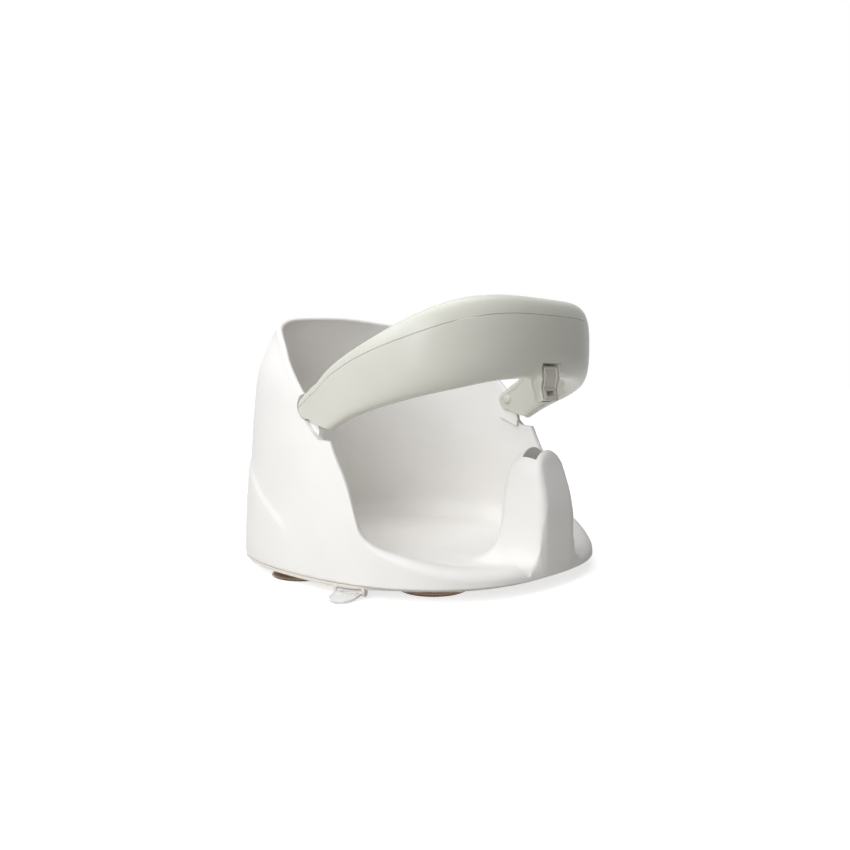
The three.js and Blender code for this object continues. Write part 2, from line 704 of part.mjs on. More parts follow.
function latchLever() {
  const middleY = leverFront + leverThickness / 2;
  const plate = solid(loft(bossHeights(leverFoot, leverPivotHeight).map((height) => bossRing(leverHalfWidth,
    leverFront - bossReach(height), leverFront + leverThickness - bossReach(height), height))));
  const barrel = alongX(leverBarrelRadius, -leverHalfWidth, leverHalfWidth, leverPivotY(), leverPivotHeight,
    smallFacets);
  const gapFront = leverPivotY() - springRadius - springWire - runningClearance;
  const gapDepth = leverPivotY() + leverBarrelRadius + overrun - gapFront;
  const springGap = block(2 * springGapHalfWidth, gapDepth, 2 * (leverBarrelRadius + overrun), 0,
    gapFront + gapDepth / 2, leverPivotHeight);
  const bore = alongX(leverPinRadius + runningClearance, -leverHalfWidth - overrun, leverHalfWidth + overrun,
    leverPivotY(), leverPivotHeight, smallFacets);
  const window = block(2 * windowHalfWidth, leverThickness + 2 * overrun, windowTop - windowBottom,
    0, middleY, (windowTop + windowBottom) / 2);
  let lever = plate.add(barrel);
  for (const side of [-1, 1]) {
    const rib = solid(loft(bossHeights(windowTop, leverPivotHeight - leverBarrelRadius).map((height) =>
      bossRing(leverRibWidth / 2, leverFront - leverRibHeight - bossReach(height),
        leverFront + leverRibHeight - bossReach(height), height))));
    lever = lever.add(rib.translate([side * (leverHalfWidth - leverRibWidth / 2), 0, 0]));
  }
  return inBoss(lever.subtract(springGap).subtract(bore).subtract(window));
}

// A torsion spring round the lever's pin, with one leg behind the lever and one up the pocket
function latchSpring() {
  const steps = springTurns * springTurnSteps;
  const halfWidth = springGapHalfWidth - springWire - runningClearance;
  const points = Array.from({ length: steps + 1 }, (_, k) => {
    const angle = 2 * Math.PI * springTurns * k / steps;
    return new THREE.Vector3(THREE.MathUtils.lerp(-halfWidth, halfWidth, k / steps),
      leverPivotY() + springRadius * Math.cos(angle), leverPivotHeight - springRadius * Math.sin(angle));
  });
  const backLegY = pocketBack - springWire - runningClearance - bossReach(leverPivotHeight);
  const frontLegY = leverFront + leverThickness + springWire + runningClearance
    - bossReach(leverPivotHeight - springLeg);
  points.unshift(new THREE.Vector3(-halfWidth, backLegY, leverPivotHeight + springLeg / 2));
  points.push(new THREE.Vector3(halfWidth, frontLegY, leverPivotHeight - springLeg));
  const shape = new THREE.Shape().absarc(0, 0, springWire, 0, 2 * Math.PI);
  const path = new THREE.CatmullRomCurve3(points, false, 'catmullrom', 0.5);
  const geometry = new THREE.ExtrudeGeometry(shape, { steps: 2 * steps, curveSegments: 3, bevelEnabled: false,
    extrudePath: path });
  return inBoss(solid(geometry));
}

function leverPin() {
  return inBoss(alongX(leverPinRadius, -leverPinHalfLength, leverPinHalfLength, leverPivotY(), leverPivotHeight,
    smallFacets));
}

// The bar's hinge pin lies in its own frame along X, from its head at zero outwards
function hingePin() {
  const inner = barHalfWidth - barDepth * barSectionShares.at(-1)[3];
  const length = barHalfWidth - barWall + pinBlindDepth - runningClearance - inner;
  return alongX(pinRadius, 0, length, 0, 0, smallFacets)
    .add(alongX(pinHeadRadius, -pinHeadThickness - runningClearance, -runningClearance, 0, 0, smallFacets))
    .add(alongX(pinRadius, -runningClearance - pinHeadThickness / 2, pinHeadThickness, 0, 0, smallFacets));
}

// The place of a release tab's hinge on one side, with its own X pointing outwards
function tabPose(side) {
  const turn = THREE.MathUtils.degToRad(side < 0 ? 180 - tabTurn : tabTurn);
  return new THREE.Matrix4().makeRotationZ(turn).setPosition(side * tabX, tabY, tabAxisHeight);
}

function tabEars(side) {
  const rise = plateBottom + plateThickness / 2 - tabAxisHeight;
  let ears = null;
  for (const end of [-1, 1]) {
    const middle = end * (tabHalfWidth + runningClearance + earThickness / 2);
    const ear = alongY(earRadius, middle - earThickness / 2, middle + earThickness / 2, 0, 0, smallFacets)
      .add(block(2 * earRadius, earThickness, rise, 0, middle, rise / 2))
      .subtract(alongY(tabPinRadius + runningClearance, middle - earThickness, middle + earThickness, 0, 0,
        smallFacets));
    ears = ears ? ears.add(ear) : ear;
  }
  return ears.transform(tabPose(side).toArray());
}

function basePlate() {
  const rows = [[plateEdgeRadius, 0], [plateEdgeRadius / 4, plateEdgeRadius / 3], [0, plateEdgeRadius]];
  rows.push([0, plateThickness]);
  let plate = solid(loft(rows.map(([inset, rise]) => outlineRing(plateInset + inset, plateBottom + rise,
    plateFrontInset))));
  for (const side of [-1, 1]) plate = plate.add(tabEars(side));
  for (const [x, y] of cups) {
    plate = plate.subtract(upright(cupNeckRadius + runningClearance, plateThickness + 2 * overrun, x, y,
      plateBottom - overrun));
  }
  for (const [x, y] of screws) {
    plate = plate.subtract(upright(screwRadius + runningClearance, plateThickness + 2 * overrun, x, y,
      plateBottom - overrun, smallFacets));
    plate = plate.subtract(upright(screwHeadRadius + runningClearance,
      screwHeadThickness + 2 * runningClearance + overrun, x, y, plateBottom - overrun, smallFacets));
  }
  return plate;
}

// A suction cup in its own frame, from its lip on the tub floor up to the head above the plate
function suctionCup() {
  const top = plateBottom + plateThickness + runningClearance;
  const shoulder = plateBottom - runningClearance;
  const ceiling = cupHeight - cupWall;
  const profile = [
    [0, ceiling], ...cupInnerShares.map(([out, up]) => [cupRadius * out, ceiling * up]),
    [cupRadius - cupLipWidth, 0], [cupRadius, 0], [cupRadius, cupLipHeight],
    ...cupOuterShares.map(([out, up]) => [cupRadius * out, shoulder * up]),
    [cupNeckRadius, shoulder], [cupNeckRadius, top], [cupHeadRadius, top],
    [cupHeadRadius, top + cupHeadThickness / 2], [cupNeckRadius, top + cupHeadThickness],
    [0, top + cupHeadThickness],
  ];
  const points = profile.map(([r, z]) => new THREE.Vector2(r, z));
  return new THREE.LatheGeometry(points, facets).rotateX(Math.PI / 2);
}

// A screw in its own frame, from the plate's underside up
function plateScrew() {
  return upright(screwHeadRadius, screwHeadThickness, 0, 0, 0, smallFacets)
    .add(upright(screwRadius, screwLength - overrun, 0, 0, overrun / 2, smallFacets));
}

function releaseTab() {
  const shape = new THREE.Shape();
  const tip = tabLength - tabHalfWidth;
  shape.moveTo(0, -tabHalfWidth);
  shape.lineTo(tip, -tabHalfWidth);
  shape.absarc(tip, 0, tabHalfWidth, -Math.PI / 2, Math.PI / 2, false);
  shape.lineTo(0, tabHalfWidth);
  const leaf = new THREE.ExtrudeGeometry(shape, { depth: tabThickness, curveSegments: vaultSteps,
    bevelEnabled: false });
  let tab = solid(leaf.translate(0, 0, -tabThickness / 2));
  for (const place of tabRidgePlaces) {
    tab = tab.add(block(tabRidgeWidth, 2 * (tabHalfWidth - tabRidgeWidth), tabThickness / 2 + tabRidgeHeight,
      place, 0, (tabThickness / 2 + tabRidgeHeight) / 2));
  }
  tab = tab.add(alongY(tabBarrelRadius, -tabHalfWidth, tabHalfWidth, 0, 0, smallFacets));
  tab = tab.rotate([0, tabDroop, 0]);
  return tab.subtract(alongY(tabPinRadius + runningClearance, -tabHalfWidth - overrun, tabHalfWidth + overrun,
    0, 0, smallFacets));
}

function tabPin() {
  const half = tabHalfWidth + runningClearance + earThickness;
  return alongY(tabPinRadius, -half, half, 0, 0, smallFacets);
}

function plastic(color, roughness) {
  return new THREE.MeshStandardMaterial({ color, roughness, metalness: 0 });
}

const whitePlastic = plastic(0xf1f0ed, 0.42);
const creamPlastic = plastic(0xece7de, 0.5);
const sagePlastic = plastic(0xcfd1c7, 0.25);
const leverPlastic = plastic(0xb9bab0, 0.35);
const smokyVinyl = plastic(0x6f6055, 0.3);
const clearVinyl = plastic(0xdedcd6, 0.25);
const steel = new THREE.MeshStandardMaterial({ color: 0xb8b9ba, roughness: 0.3, metalness: 1 });

const model = new THREE.Group();

function place(name, shape, material, pose = new THREE.Matrix4()) {
  const mesh = new THREE.Mesh(shape.isBufferGeometry ? shape : geometryOf(shape), material);
  mesh.name = name;
  mesh.applyMatrix4(pose);
  model.add(mesh);
}

function movedTo(x, y, z) {
  return new THREE.Matrix4().setPosition(x, y, z);
}

place('seat_shell', seatShell(), whitePlastic);
place('base_plate', basePlate(), creamPlastic);
place('bar_upper_shell', barUpperShell(), sagePlastic);
place('bar_lower_shell', barLowerShell(), sagePlastic);
place('latch_lever', latchLever(), leverPlastic);
place('latch_lever_pin', leverPin(), steel);
place('latch_lever_spring', latchSpring(), steel);

const cupNames = ['front_right', 'front_left', 'side_right', 'side_left', 'rear'];
cups.forEach(([x, y], k) => place(`suction_cup_${cupNames[k]}`, suctionCup(), smokyVinyl, movedTo(x, y, 0)));

const screwNames = ['front_right', 'front_left', 'side_right', 'side_left', 'rear_right', 'rear_left'];
const screwHeadZ = plateBottom + runningClearance;
screws.forEach(([x, y], k) => (
  place(`plate_screw_${screwNames[k]}`, plateScrew(), steel, movedTo(x, y, screwHeadZ))));

const pinHeadX = barHalfWidth - barDepth * barSectionShares.at(-1)[3];
for (const [name, side] of [['left', -1], ['right', 1]]) {
  const turn = new THREE.Matrix4().makeRotationZ(side < 0 ? Math.PI : 0);
  place(`hinge_pin_${name}`, hingePin(), steel, turn.setPosition(side * pinHeadX, hingeY, hingeZ));
  place(`release_tab_${name}`, releaseTab(), clearVinyl, tabPose(side));
  place(`release_tab_pin_${name}`, tabPin(), steel, tabPose(side));
}

export default model;
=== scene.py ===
"""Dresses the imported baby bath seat: smooth mouldings, soft vinyl, steel pins, floor, light and camera."""
import json
import math

import bmesh
import bpy
from bpy.props import FloatProperty, FloatVectorProperty, PointerProperty
from mathutils import Matrix, Vector

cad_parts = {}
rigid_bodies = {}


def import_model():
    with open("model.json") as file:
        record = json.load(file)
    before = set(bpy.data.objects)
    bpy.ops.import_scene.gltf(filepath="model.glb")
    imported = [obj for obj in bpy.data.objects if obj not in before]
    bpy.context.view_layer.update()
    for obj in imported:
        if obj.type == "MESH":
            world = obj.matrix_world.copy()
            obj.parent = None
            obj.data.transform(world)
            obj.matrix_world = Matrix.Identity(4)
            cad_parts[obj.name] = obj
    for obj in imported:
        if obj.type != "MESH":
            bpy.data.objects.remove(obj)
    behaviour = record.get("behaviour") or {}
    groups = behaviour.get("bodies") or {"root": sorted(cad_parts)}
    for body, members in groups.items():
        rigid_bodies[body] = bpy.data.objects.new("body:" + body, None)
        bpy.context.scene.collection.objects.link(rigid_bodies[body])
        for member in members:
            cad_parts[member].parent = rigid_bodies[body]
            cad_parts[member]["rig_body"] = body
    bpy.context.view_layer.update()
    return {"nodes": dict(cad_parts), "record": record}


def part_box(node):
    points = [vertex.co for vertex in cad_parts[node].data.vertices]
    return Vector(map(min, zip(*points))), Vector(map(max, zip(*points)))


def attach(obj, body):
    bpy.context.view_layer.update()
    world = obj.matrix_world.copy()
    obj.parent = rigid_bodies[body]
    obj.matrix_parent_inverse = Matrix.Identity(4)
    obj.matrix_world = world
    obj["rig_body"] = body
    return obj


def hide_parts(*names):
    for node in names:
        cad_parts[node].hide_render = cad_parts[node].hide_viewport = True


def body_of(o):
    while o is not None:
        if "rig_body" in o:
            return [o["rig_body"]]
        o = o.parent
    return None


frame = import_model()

bl_info = {
    "name": "Baby bath seat",
    "version": (1, 0, 0),
    "blender": (4, 5, 0),
    "location": "3D View > Sidebar > Bath Seat",
    "description": "Builds the finished pieces of a baby bath seat around its packed frame",
    "category": "Object",
}

NODES = frame["nodes"]
# Points nearer than this become one, and a cutter runs past a face by the overrun
MERGE = 0.00001
OVERRUN = 0.002

# Share of the seat's half width and half length at each share of the backrest's height
LEAN = [
    (0, 1, 1), (0.247, 0.992, 0.982), (0.401, 0.987, 0.946), (0.53, 0.982, 0.925), (0.611, 0.977, 0.907),
    (0.684, 0.975, 0.884), (0.765, 0.956, 0.866), (0.838, 0.914, 0.827), (0.879, 0.891, 0.8),
    (0.915, 0.865, 0.776), (0.947, 0.829, 0.746), (0.972, 0.79, 0.71), (1, 0.728, 0.663),
]
# Rim height as a share of the backrest's, by the angle in degrees from the middle of the back
RIM = [
    (-30, 0.986), (0, 1), (30, 0.986), (45, 0.966), (60, 0.926), (67, 0.896), (72, 0.866), (75.4, 0.839),
    (78.8, 0.809), (83.4, 0.766), (87.6, 0.721), (91, 0.683), (98, 0.603), (104.4, 0.522), (106, 0.486),
    (108, 0.444),
    (110, 0.405), (111.9, 0.357), (113.4, 0.305), (114.5, 0.266), (115.5, 0.234), (117.5, 0.203),
    (120.9, 0.177), (123.8, 0.164), (128.1, 0.151), (133.5, 0.135), (141.5, 0.113), (152, 0.098),
    (165, 0.094), (180, 0.094),
]
# Height of the skirt's upper edge as a share of the wall's, by the same angle
SKIRT_LINE = [
    (0, 0.42), (30, 0.42), (50, 0.395), (60, 0.355), (68, 0.3), (76, 0.26), (83.5, 0.214), (88.4, 0.156),
    (100, 0.12), (120, 0.12), (180, 0.12),
]
# Between these angles the whole wall comes out to the skirt, the skirt's step spreads over the
# wall's height, and the rim turns into the soft rim of the leg opening
SKIRT_FADE = (98, 122)
STEP_SPREAD = (81, 97)
LEG_RIM = (112, 140)
# Steps of the shell's columns on one side: first angle, last angle and number
COLUMN_SPANS = [(0, 60, 30), (60, 100, 32), (100, 120, 44), (120, 180, 44)]
# Height, half width, front and back of the post's sections as shares of its top and its own sizes
POST = [
    (0.1, 2.24, 1.083, 0.735), (0.172, 1.82, 1.084, 0.804), (0.215, 1.535, 1.083, 0.86),
    (0.28, 1.386, 1.082, 0.904), (0.37, 1.317, 1.08, 0.932), (0.477, 1.272, 1.076, 0.946),
    (0.576, 1.228, 1.069, 0.954), (0.683, 1.178, 1.055, 0.961), (0.781, 1.124, 1.034, 0.97),
    (0.863, 1.079, 1.017, 0.98), (0.937, 1.05, 1.006, 0.991), (1.06, 1, 1, 1),
]
# Crown of the post's top, from its back to its front: place and height
CROWN = [
    (-1.2, 0.6), (-0.4, 0.76), (-0.04, 0.89), (0.04, 0.933), (0.2, 0.971), (0.42, 0.992), (0.62, 0.991),
    (0.86, 0.98), (1, 0.962), (1.12, 0.922), (1.24, 0.855), (1.36, 0.76), (1.46, 0.62), (1.7, 0.4),
]
# Corners of the hinge notch, lug and arm end, across and up from the hinge in knuckle radii
NOTCH_CORNERS = [(-0.33, -1.66), (-1.31, -2.53), (-2.6, -2.62), (-6, -2.62), (-6, 3), (-1, 3)]
LUG_CORNERS = [(-1.05, -1.9), (-0.9, -2.6), (1.3, -1.7), (1.3, -0.2)]
END_CORNERS = [(-0.95, -1.33), (-2.19, -1.67)]
# By the angle in degrees from the front: shares of the bar's top, bottom and depth, the section's
# roundness, and the seam's distance below the top as a share of the section's height
BAR = [
    (0, 1, 1, 1, 2.8, 0.23), (19.4, 0.998, 0.984, 0.98, 2.8, 0.23), (36.9, 0.977, 0.948, 0.9, 2.9, 0.24),
    (55, 0.92, 0.903, 0.74, 3.1, 0.24), (73.8, 0.827, 0.834, 0.5, 3.8, 0.18),
    (84.5, 0.756, 0.757, 0.4, 5, 0.16), (90, 0.693, 0.68, 0.37, 6, 0.15), (98, 0.64, 0.62, 0.37, 6, 0.15),
]


def smooth_table(rows, x):
    """The table's columns at x, smooth through its rows."""
    i = 0
    while i < len(rows) - 2 and x > rows[i + 1][0]:
        i += 1
    a, b = rows[i], rows[i + 1]
    before, after = rows[max(i - 1, 0)], rows[min(i + 2, len(rows) - 1)]
    span = b[0] - a[0]
    t = (x - a[0]) / span
    values = []
    for k in range(1, len(a)):
        start_slope = (b[k] - before[k]) / (b[0] - before[0]) * span
        end_slope = (after[k] - a[k]) / (after[0] - a[0]) * span
        bend = start_slope * t * (1 - t) ** 2 - end_slope * t * t * (1 - t)
        values.append(a[k] + (b[k] - a[k]) * t * t * (3 - 2 * t) + bend)
    return values


def ease(span, x):
    """From 0 before the span to 1 after it, with a soft start and end."""
    t = min(max((x - span[0]) / (span[1] - span[0]), 0), 1)
    return t * t * (3 - 2 * t)


def mix(a, b, t):
    """The value a share t of the way from a to b."""
    return a + (b - a) * t


def shares(count, last=True):
    """Even steps from 0 up to 1, with or without the last one."""
    return [k / count for k in range(count + (1 if last else 0))]


# Meshes

def mapped_grid(columns, rows, place):
    """A grid bent into a surface: place(i, j) gives the point of column i and row j."""
    bm = bmesh.new()
    bmesh.ops.create_grid(bm, x_segments=columns, y_segments=rows, size=1)
    for vert in bm.verts:
        vert.co = place(round((vert.co.x + 1) / 2 * columns), round((vert.co.y + 1) / 2 * rows))
    bmesh.ops.remove_doubles(bm, verts=bm.verts, dist=MERGE)
    return bm


def closed(bm):
    """Open ends filled and all faces turned outwards."""
    edges = [e for e in bm.edges if e.is_boundary]
    if edges:
        bmesh.ops.holes_fill(bm, edges=edges, sides=0)
    bmesh.ops.recalc_face_normals(bm, faces=bm.faces)
    return bm


def as_object(bm, name):
    """The bmesh as a linked object; the bmesh is used up."""
    mesh = bpy.data.meshes.new(name)
    bm.to_mesh(mesh)
    bm.free()
    piece = bpy.data.objects.new(name, mesh)
    bpy.context.scene.collection.objects.link(piece)
    return piece


def discard(piece):
    """Removes an object with its mesh."""
    mesh = piece.data
    bpy.data.objects.remove(piece)
    bpy.data.meshes.remove(mesh)


def evaluated(piece):
    """A new bmesh of the object with its modifiers applied."""
    bpy.context.view_layer.update()
    source = piece.evaluated_get(bpy.context.evaluated_depsgraph_get())
    bm = bmesh.new()
    bm.from_mesh(source.to_mesh())
    source.to_mesh_clear()
    return bm


def combined(bm, tool, operation):
    """The solid bm joined with, cut by or kept inside another one."""
    body, cutter = as_object(bm, "body"), as_object(tool, "tool")
    modifier = body.modifiers.new("Combine", "BOOLEAN")
    modifier.operation, modifier.object, modifier.solver = operation, cutter, "EXACT"
    result = evaluated(body)
    discard(body)
    discard(cutter)
    bmesh.ops.remove_doubles(result, verts=result.verts, dist=MERGE)
    return result


def prism(outline, first, last):
    """A side outline in Y and Z, extruded from one X to another."""
    bm = bmesh.new()
    verts = [bm.verts.new((first, y, z)) for y, z in outline]
    face = bm.faces.new(verts)
    moved = bmesh.ops.extrude_face_region(bm, geom=[face])
    top = [v for v in moved["geom"] if isinstance(v, bmesh.types.BMVert)]
    bmesh.ops.translate(bm, verts=top, vec=(last - first, 0, 0))
    bmesh.ops.recalc_face_normals(bm, faces=bm.faces)
    return bm


def block(low, high):
    """A box between two corners."""
    bm = bmesh.new()
    size = [h - l for l, h in zip(low, high)]
    middle = [(h + l) / 2 for l, h in zip(low, high)]
    bmesh.ops.create_cube(bm, size=1, matrix=Matrix.Translation(middle) @ Matrix.Diagonal((*size, 1)))
    return bm


def rod(radius, first, last, place, sides=48):
    """A round bar along X from first to last, at a place in Y and Z."""
    bm = bmesh.new()
    turn = Matrix.Rotation(math.pi / 2, 4, "Y")
    middle = Matrix.Translation(((first + last) / 2, *place))
    bmesh.ops.create_cone(bm, cap_ends=True, segments=sides, radius1=radius, radius2=radius,
                          depth=abs(last - first), matrix=middle @ turn)
    return bm


def lathe(profile, sides, matrix=None):
    """A profile of (radius, height) points turned about Z."""
    bm = bmesh.new()
    points = [bm.verts.new((r, 0, z)) for r, z in profile]
    edges = [bm.edges.new(pair) for pair in zip(points, points[1:])]
    bmesh.ops.spin(bm, geom=points + edges, cent=(0, 0, 0), axis=(0, 0, 1), angle=2 * math.pi, steps=sides,
                   use_merge=True)
    bmesh.ops.remove_doubles(bm, verts=bm.verts, dist=MERGE)
    bmesh.ops.recalc_face_normals(bm, faces=bm.faces)
    if matrix:
        bmesh.ops.transform(bm, matrix=matrix, verts=bm.verts)
    return bm


def arc(y, z, radius, first, last, steps=40):
    """Points on a circle round (y, z), between two angles in degrees."""
    angles = [math.radians(mix(first, last, k / steps)) for k in range(steps + 1)]
    return [(y + radius * math.cos(a), z + radius * math.sin(a)) for a in angles]


def soften(bm, wanted, angle, rings, rounds):
    """Rounds the creases sharper than an angle, together with a few rings of points round them."""
    chosen = set()
    for edge in bm.edges:
        if len(edge.link_faces) == 2 and edge.calc_face_angle(0) > angle:
            chosen.update(v for v in edge.verts if wanted(v.co))
    for _ in range(rings):
        chosen.update([e.other_vert(v) for v in chosen for e in v.link_edges])
    chosen = [v for v in chosen if wanted(v.co)]
    for _ in range(rounds):
        bmesh.ops.smooth_vert(bm, verts=chosen, factor=0.5, use_axis_x=True, use_axis_y=True,
                              use_axis_z=True)


SLOTS = {row["node"]: row["material_slot"] for row in frame["record"]["subparts"]}


def dress(bm, name, *nodes, sharp=35, edge=0.0, segments=2, slot=None):
    """Shades and rounds the finished piece that stands for these nodes, puts it on their body, and hides
    them unless a slot is given.
    """
    finish = slot or SLOTS[nodes[0]]
    piece = as_object(bm, name)
    for face in piece.data.polygons:
        face.use_smooth = True
    piece.data.materials.clear()
    piece.data.materials.append(finish_of(finish))
    if edge:
        bevel = piece.modifiers.new("Rounded edges", "BEVEL")
        bevel.width, bevel.segments = edge, segments
        bevel.limit_method, bevel.angle_limit = "ANGLE", math.radians(sharp)
        bevel.harden_normals = True
    else:
        piece.data.set_sharp_from_angle(angle=math.radians(sharp))
    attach(piece, body_of(NODES[nodes[0]])[0])
    if not slot:
        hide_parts(*nodes)
    return piece


# Materials

def node(tree, kind, **values):
    """A new node with its settings and socket values."""
    made = tree.nodes.new(kind)
    for key, value in values.items():
        if hasattr(made, key):
            setattr(made, key, value)
        else:
            made.inputs[key].default_value = value
    return made


def new_material(name):
    """A node material with its tree and main shader."""
    material = bpy.data.materials.new(name)
    material.use_nodes = True
    return material, material.node_tree, material.node_tree.nodes["Principled BSDF"]


def object_place(tree):
    """The place on the piece, which moves with it."""
    return node(tree, "ShaderNodeTexCoord").outputs["Object"]


def stretched(tree, source, scale):
    """The place scaled by axis, so that a pattern on it runs in streaks."""
    made = node(tree, "ShaderNodeMapping", Scale=scale)
    tree.links.new(source, made.inputs["Vector"])
    return made.outputs["Vector"]


def noise(tree, source, scale, detail):
    """A cloudy pattern from 0 to 1."""
    made = node(tree, "ShaderNodeTexNoise", Scale=scale, Detail=detail)
    tree.links.new(source, made.inputs["Vector"])
    return made.outputs["Fac"]


def ranged(tree, source, low, high, first=0.0, last=1.0):
    """The source's values from first to last, spread from low to high."""
    made = node(tree, "ShaderNodeMapRange")
    for socket, value in zip(("From Min", "From Max", "To Min", "To Max"), (first, last, low, high)):
        made.inputs[socket].default_value = value
    tree.links.new(source, made.inputs["Value"])
    return made.outputs["Result"]


def calculated(tree, operation, first, second):
    """Two values joined by a Math node; the second may be a plain number."""
    made = node(tree, "ShaderNodeMath", operation=operation)
    tree.links.new(first, made.inputs[0])
    if isinstance(second, bpy.types.NodeSocket):
        tree.links.new(second, made.inputs[1])
    else:
        made.inputs[1].default_value = second
    return made.outputs["Value"]


def toned(tree, shader, factor, first, last):
    """A base colour between two, by a factor."""
    tone = node(tree, "ShaderNodeMix", data_type="RGBA")
    weight, start, end = tone.inputs[0], tone.inputs[6], tone.inputs[7]
    start.default_value = (*first, 1)
    end.default_value = (*last, 1)
    tree.links.new(factor, weight)
    tree.links.new(tone.outputs[2], shader.inputs["Base Color"])


def raised(tree, shader, source, strength, depth):
    """A fine relief from a pattern."""
    relief = node(tree, "ShaderNodeBump", Strength=strength, Distance=depth)
    tree.links.new(source, relief.inputs["Height"])
    tree.links.new(relief.outputs["Normal"], shader.inputs["Normal"])


def moulded(name, colour, roughness, spread=0.035, grain=900, bump=0.02, coat=0.0, clear=0.0, shine=0.5):
    """Moulded plastic or vinyl with slow colour drift, uneven gloss, faint scuffs and fine grain."""
    material, tree, shader = new_material(name)
    where = object_place(tree)
    drift = noise(tree, where, scale=9, detail=4)
    scuffs = noise(tree, stretched(tree, where, (1, 0.25, 0.6)), scale=70, detail=3)
    darker, lighter = [c * (1 - spread) for c in colour], [min(c * (1 + spread), 1) for c in colour]
    toned(tree, shader, ranged(tree, drift, 0, 1, first=0.3, last=0.7), darker, lighter)
    scuffed = ranged(tree, scuffs, 0, roughness * 0.03, first=0.45, last=0.8)
    uneven = calculated(tree, "ADD", scuffed, ranged(tree, drift, roughness * 0.85, roughness))
    tree.links.new(uneven, shader.inputs["Roughness"])
    raised(tree, shader, noise(tree, where, grain, detail=2), bump, depth=0.0004)
    shader.inputs["Coat Weight"].default_value = coat
    shader.inputs["Coat Roughness"].default_value = 0.12
    shader.inputs["Transmission Weight"].default_value = clear
    shader.inputs["Specular IOR Level"].default_value = shine
    shader.inputs["IOR"].default_value = 1.47
    return material


def drawn_steel(name, colour):
    """Drawn steel wire and pins with fine lines along X and a few duller patches."""
    material, tree, shader = new_material(name)
    where = object_place(tree)
    lines = noise(tree, stretched(tree, where, (0.04, 1, 1)), scale=4000, detail=3)
    patches = noise(tree, where, scale=300, detail=3)
    toned(tree, shader, patches, [c * 0.8 for c in colour], colour)
    tree.links.new(ranged(tree, patches, 0.22, 0.42), shader.inputs["Roughness"])
    raised(tree, shader, lines, strength=0.15, depth=0.00005)
    shader.inputs["Metallic"].default_value = 1
    return material


_finishes = {}


def finish_of(slot):
    """The material of one slot, made once."""
    if slot in _finishes:
        return _finishes[slot]
    look = bpy.context.scene.bath_seat_looks
    makers = {
        "white_plastic": lambda: moulded("White satin plastic", look.white, 0.55, bump=0.03, shine=0.2),
        "cream_plastic": lambda: moulded("Cream plastic", look.cream, 0.5, bump=0.04),
        "sage_plastic": lambda: moulded("Sage gloss plastic", look.sage, 0.28, bump=0.01, shine=0.3),
        "lever_plastic": lambda: moulded("Grey gloss plastic", look.lever, 0.3, bump=0.01, coat=0.2),
        "smoky_vinyl": lambda: moulded("Smoky soft vinyl", look.vinyl, 0.2, 0.08, 300, 0.03, clear=0.92),
        "clear_vinyl": lambda: moulded("Milky soft vinyl", look.tab, 0.3, 0.02, 300, 0.005, clear=0.3),
        "steel": lambda: drawn_steel("Drawn steel", look.steel),
    }
    _finishes[slot] = makers[slot]()
    return _finishes[slot]


# Sizes and colours

def length(name, text, value):
    return FloatProperty(name=name, description=text, default=value, min=0, unit="LENGTH",
                         subtype="DISTANCE")


def colour(name, text, value):
    return FloatVectorProperty(name=name, description=text, default=value, size=3, min=0, max=1,
                               subtype="COLOR")


class BathSeatSizes(bpy.types.PropertyGroup):
    half_width: length("Half width", "Half of the seat's width above the skirt", 0.1538)
    half_length: length("Half length", "Half of the seat's length above the skirt", 0.1675)
    roundness: FloatProperty(name="Roundness", description="How square the outline's corners are",
                             default=2.4)
    backrest: length("Backrest height", "Height of the middle of the backrest", 0.2465)
    wall: length("Wall", "Thickness of the bucket's wall at the rim", 0.006)
    skirt_proud: length("Skirt step", "How far the skirt stands proud of the wall", 0.0019)
    skirt_step: length("Skirt step height", "Height over which the skirt steps in", 0.012)
    skirt_wall: length("Skirt wall", "Thickness of the skirt at its foot", 0.005)
    skirt_edge: length("Skirt edge", "Rounding of the skirt's lower edge", 0.0016)
    skirt_bottom: length("Skirt bottom", "Height of the skirt's lower edge", 0.0116)
    floor_top: length("Floor", "Height of the bucket's floor", 0.0186)
    floor_bottom: length("Floor underside", "Height of the underside of the floor", 0.015)
    floor_fillet: length("Floor fillet", "Rounding between floor and wall", 0.026)
    rim_run: length("Leg rim run", "Outward run of the soft rim at the leg openings", 0.012)
    rim_drop: length("Leg rim drop", "Drop of the soft rim at the leg openings", 0.0085)
    rim_inner: length("Leg rim inner run", "Inward run of the soft rim at the leg openings", 0.018)
    post_top: length("Post top", "Height of the crotch post", 0.1214)
    post_half_width: length("Post half width", "Half width of the post near its top", 0.0202)
    post_front: length("Post front", "Distance of the post's front from the middle", 0.1578)
    post_back: length("Post back", "Distance of the post's back from the middle", 0.1276)
    post_corner: length("Post corner", "Rounding of the post's upright corners", 0.008)
    post_vault: length("Post vault", "Radius of the post's vaulted top", 0.0212)
    hinge_height: length("Hinge height", "Height of the bar's hinge", 0.1575)
    hinge_back: length("Hinge offset", "Distance of the hinge in front of the middle", 0.01)
    knuckle: length("Knuckle radius", "Radius of the bar's rounded end", 0.0112)
    bar_half_width: length("Bar half width", "Half of the bar's width", 0.15)
    bar_half_length: length("Bar half length", "Length of the bar's curved front", 0.148)
    bar_middle: length("Bar middle", "Distance of the curve's middle in front of the seat's", 0.014)
    bar_straight: length("Bar straight end", "Straight length at the arms' ends", 0.02)
    bar_top: length("Bar top", "Height of the bar's top at the front", 0.2506)
    bar_bottom: length("Bar bottom", "Height of the bar's underside at the front", 0.182)
    bar_depth: length("Bar depth", "Thickness of the bar at the front", 0.034)
    bar_wall: length("Bar wall", "Wall of the bar's shells", 0.003)


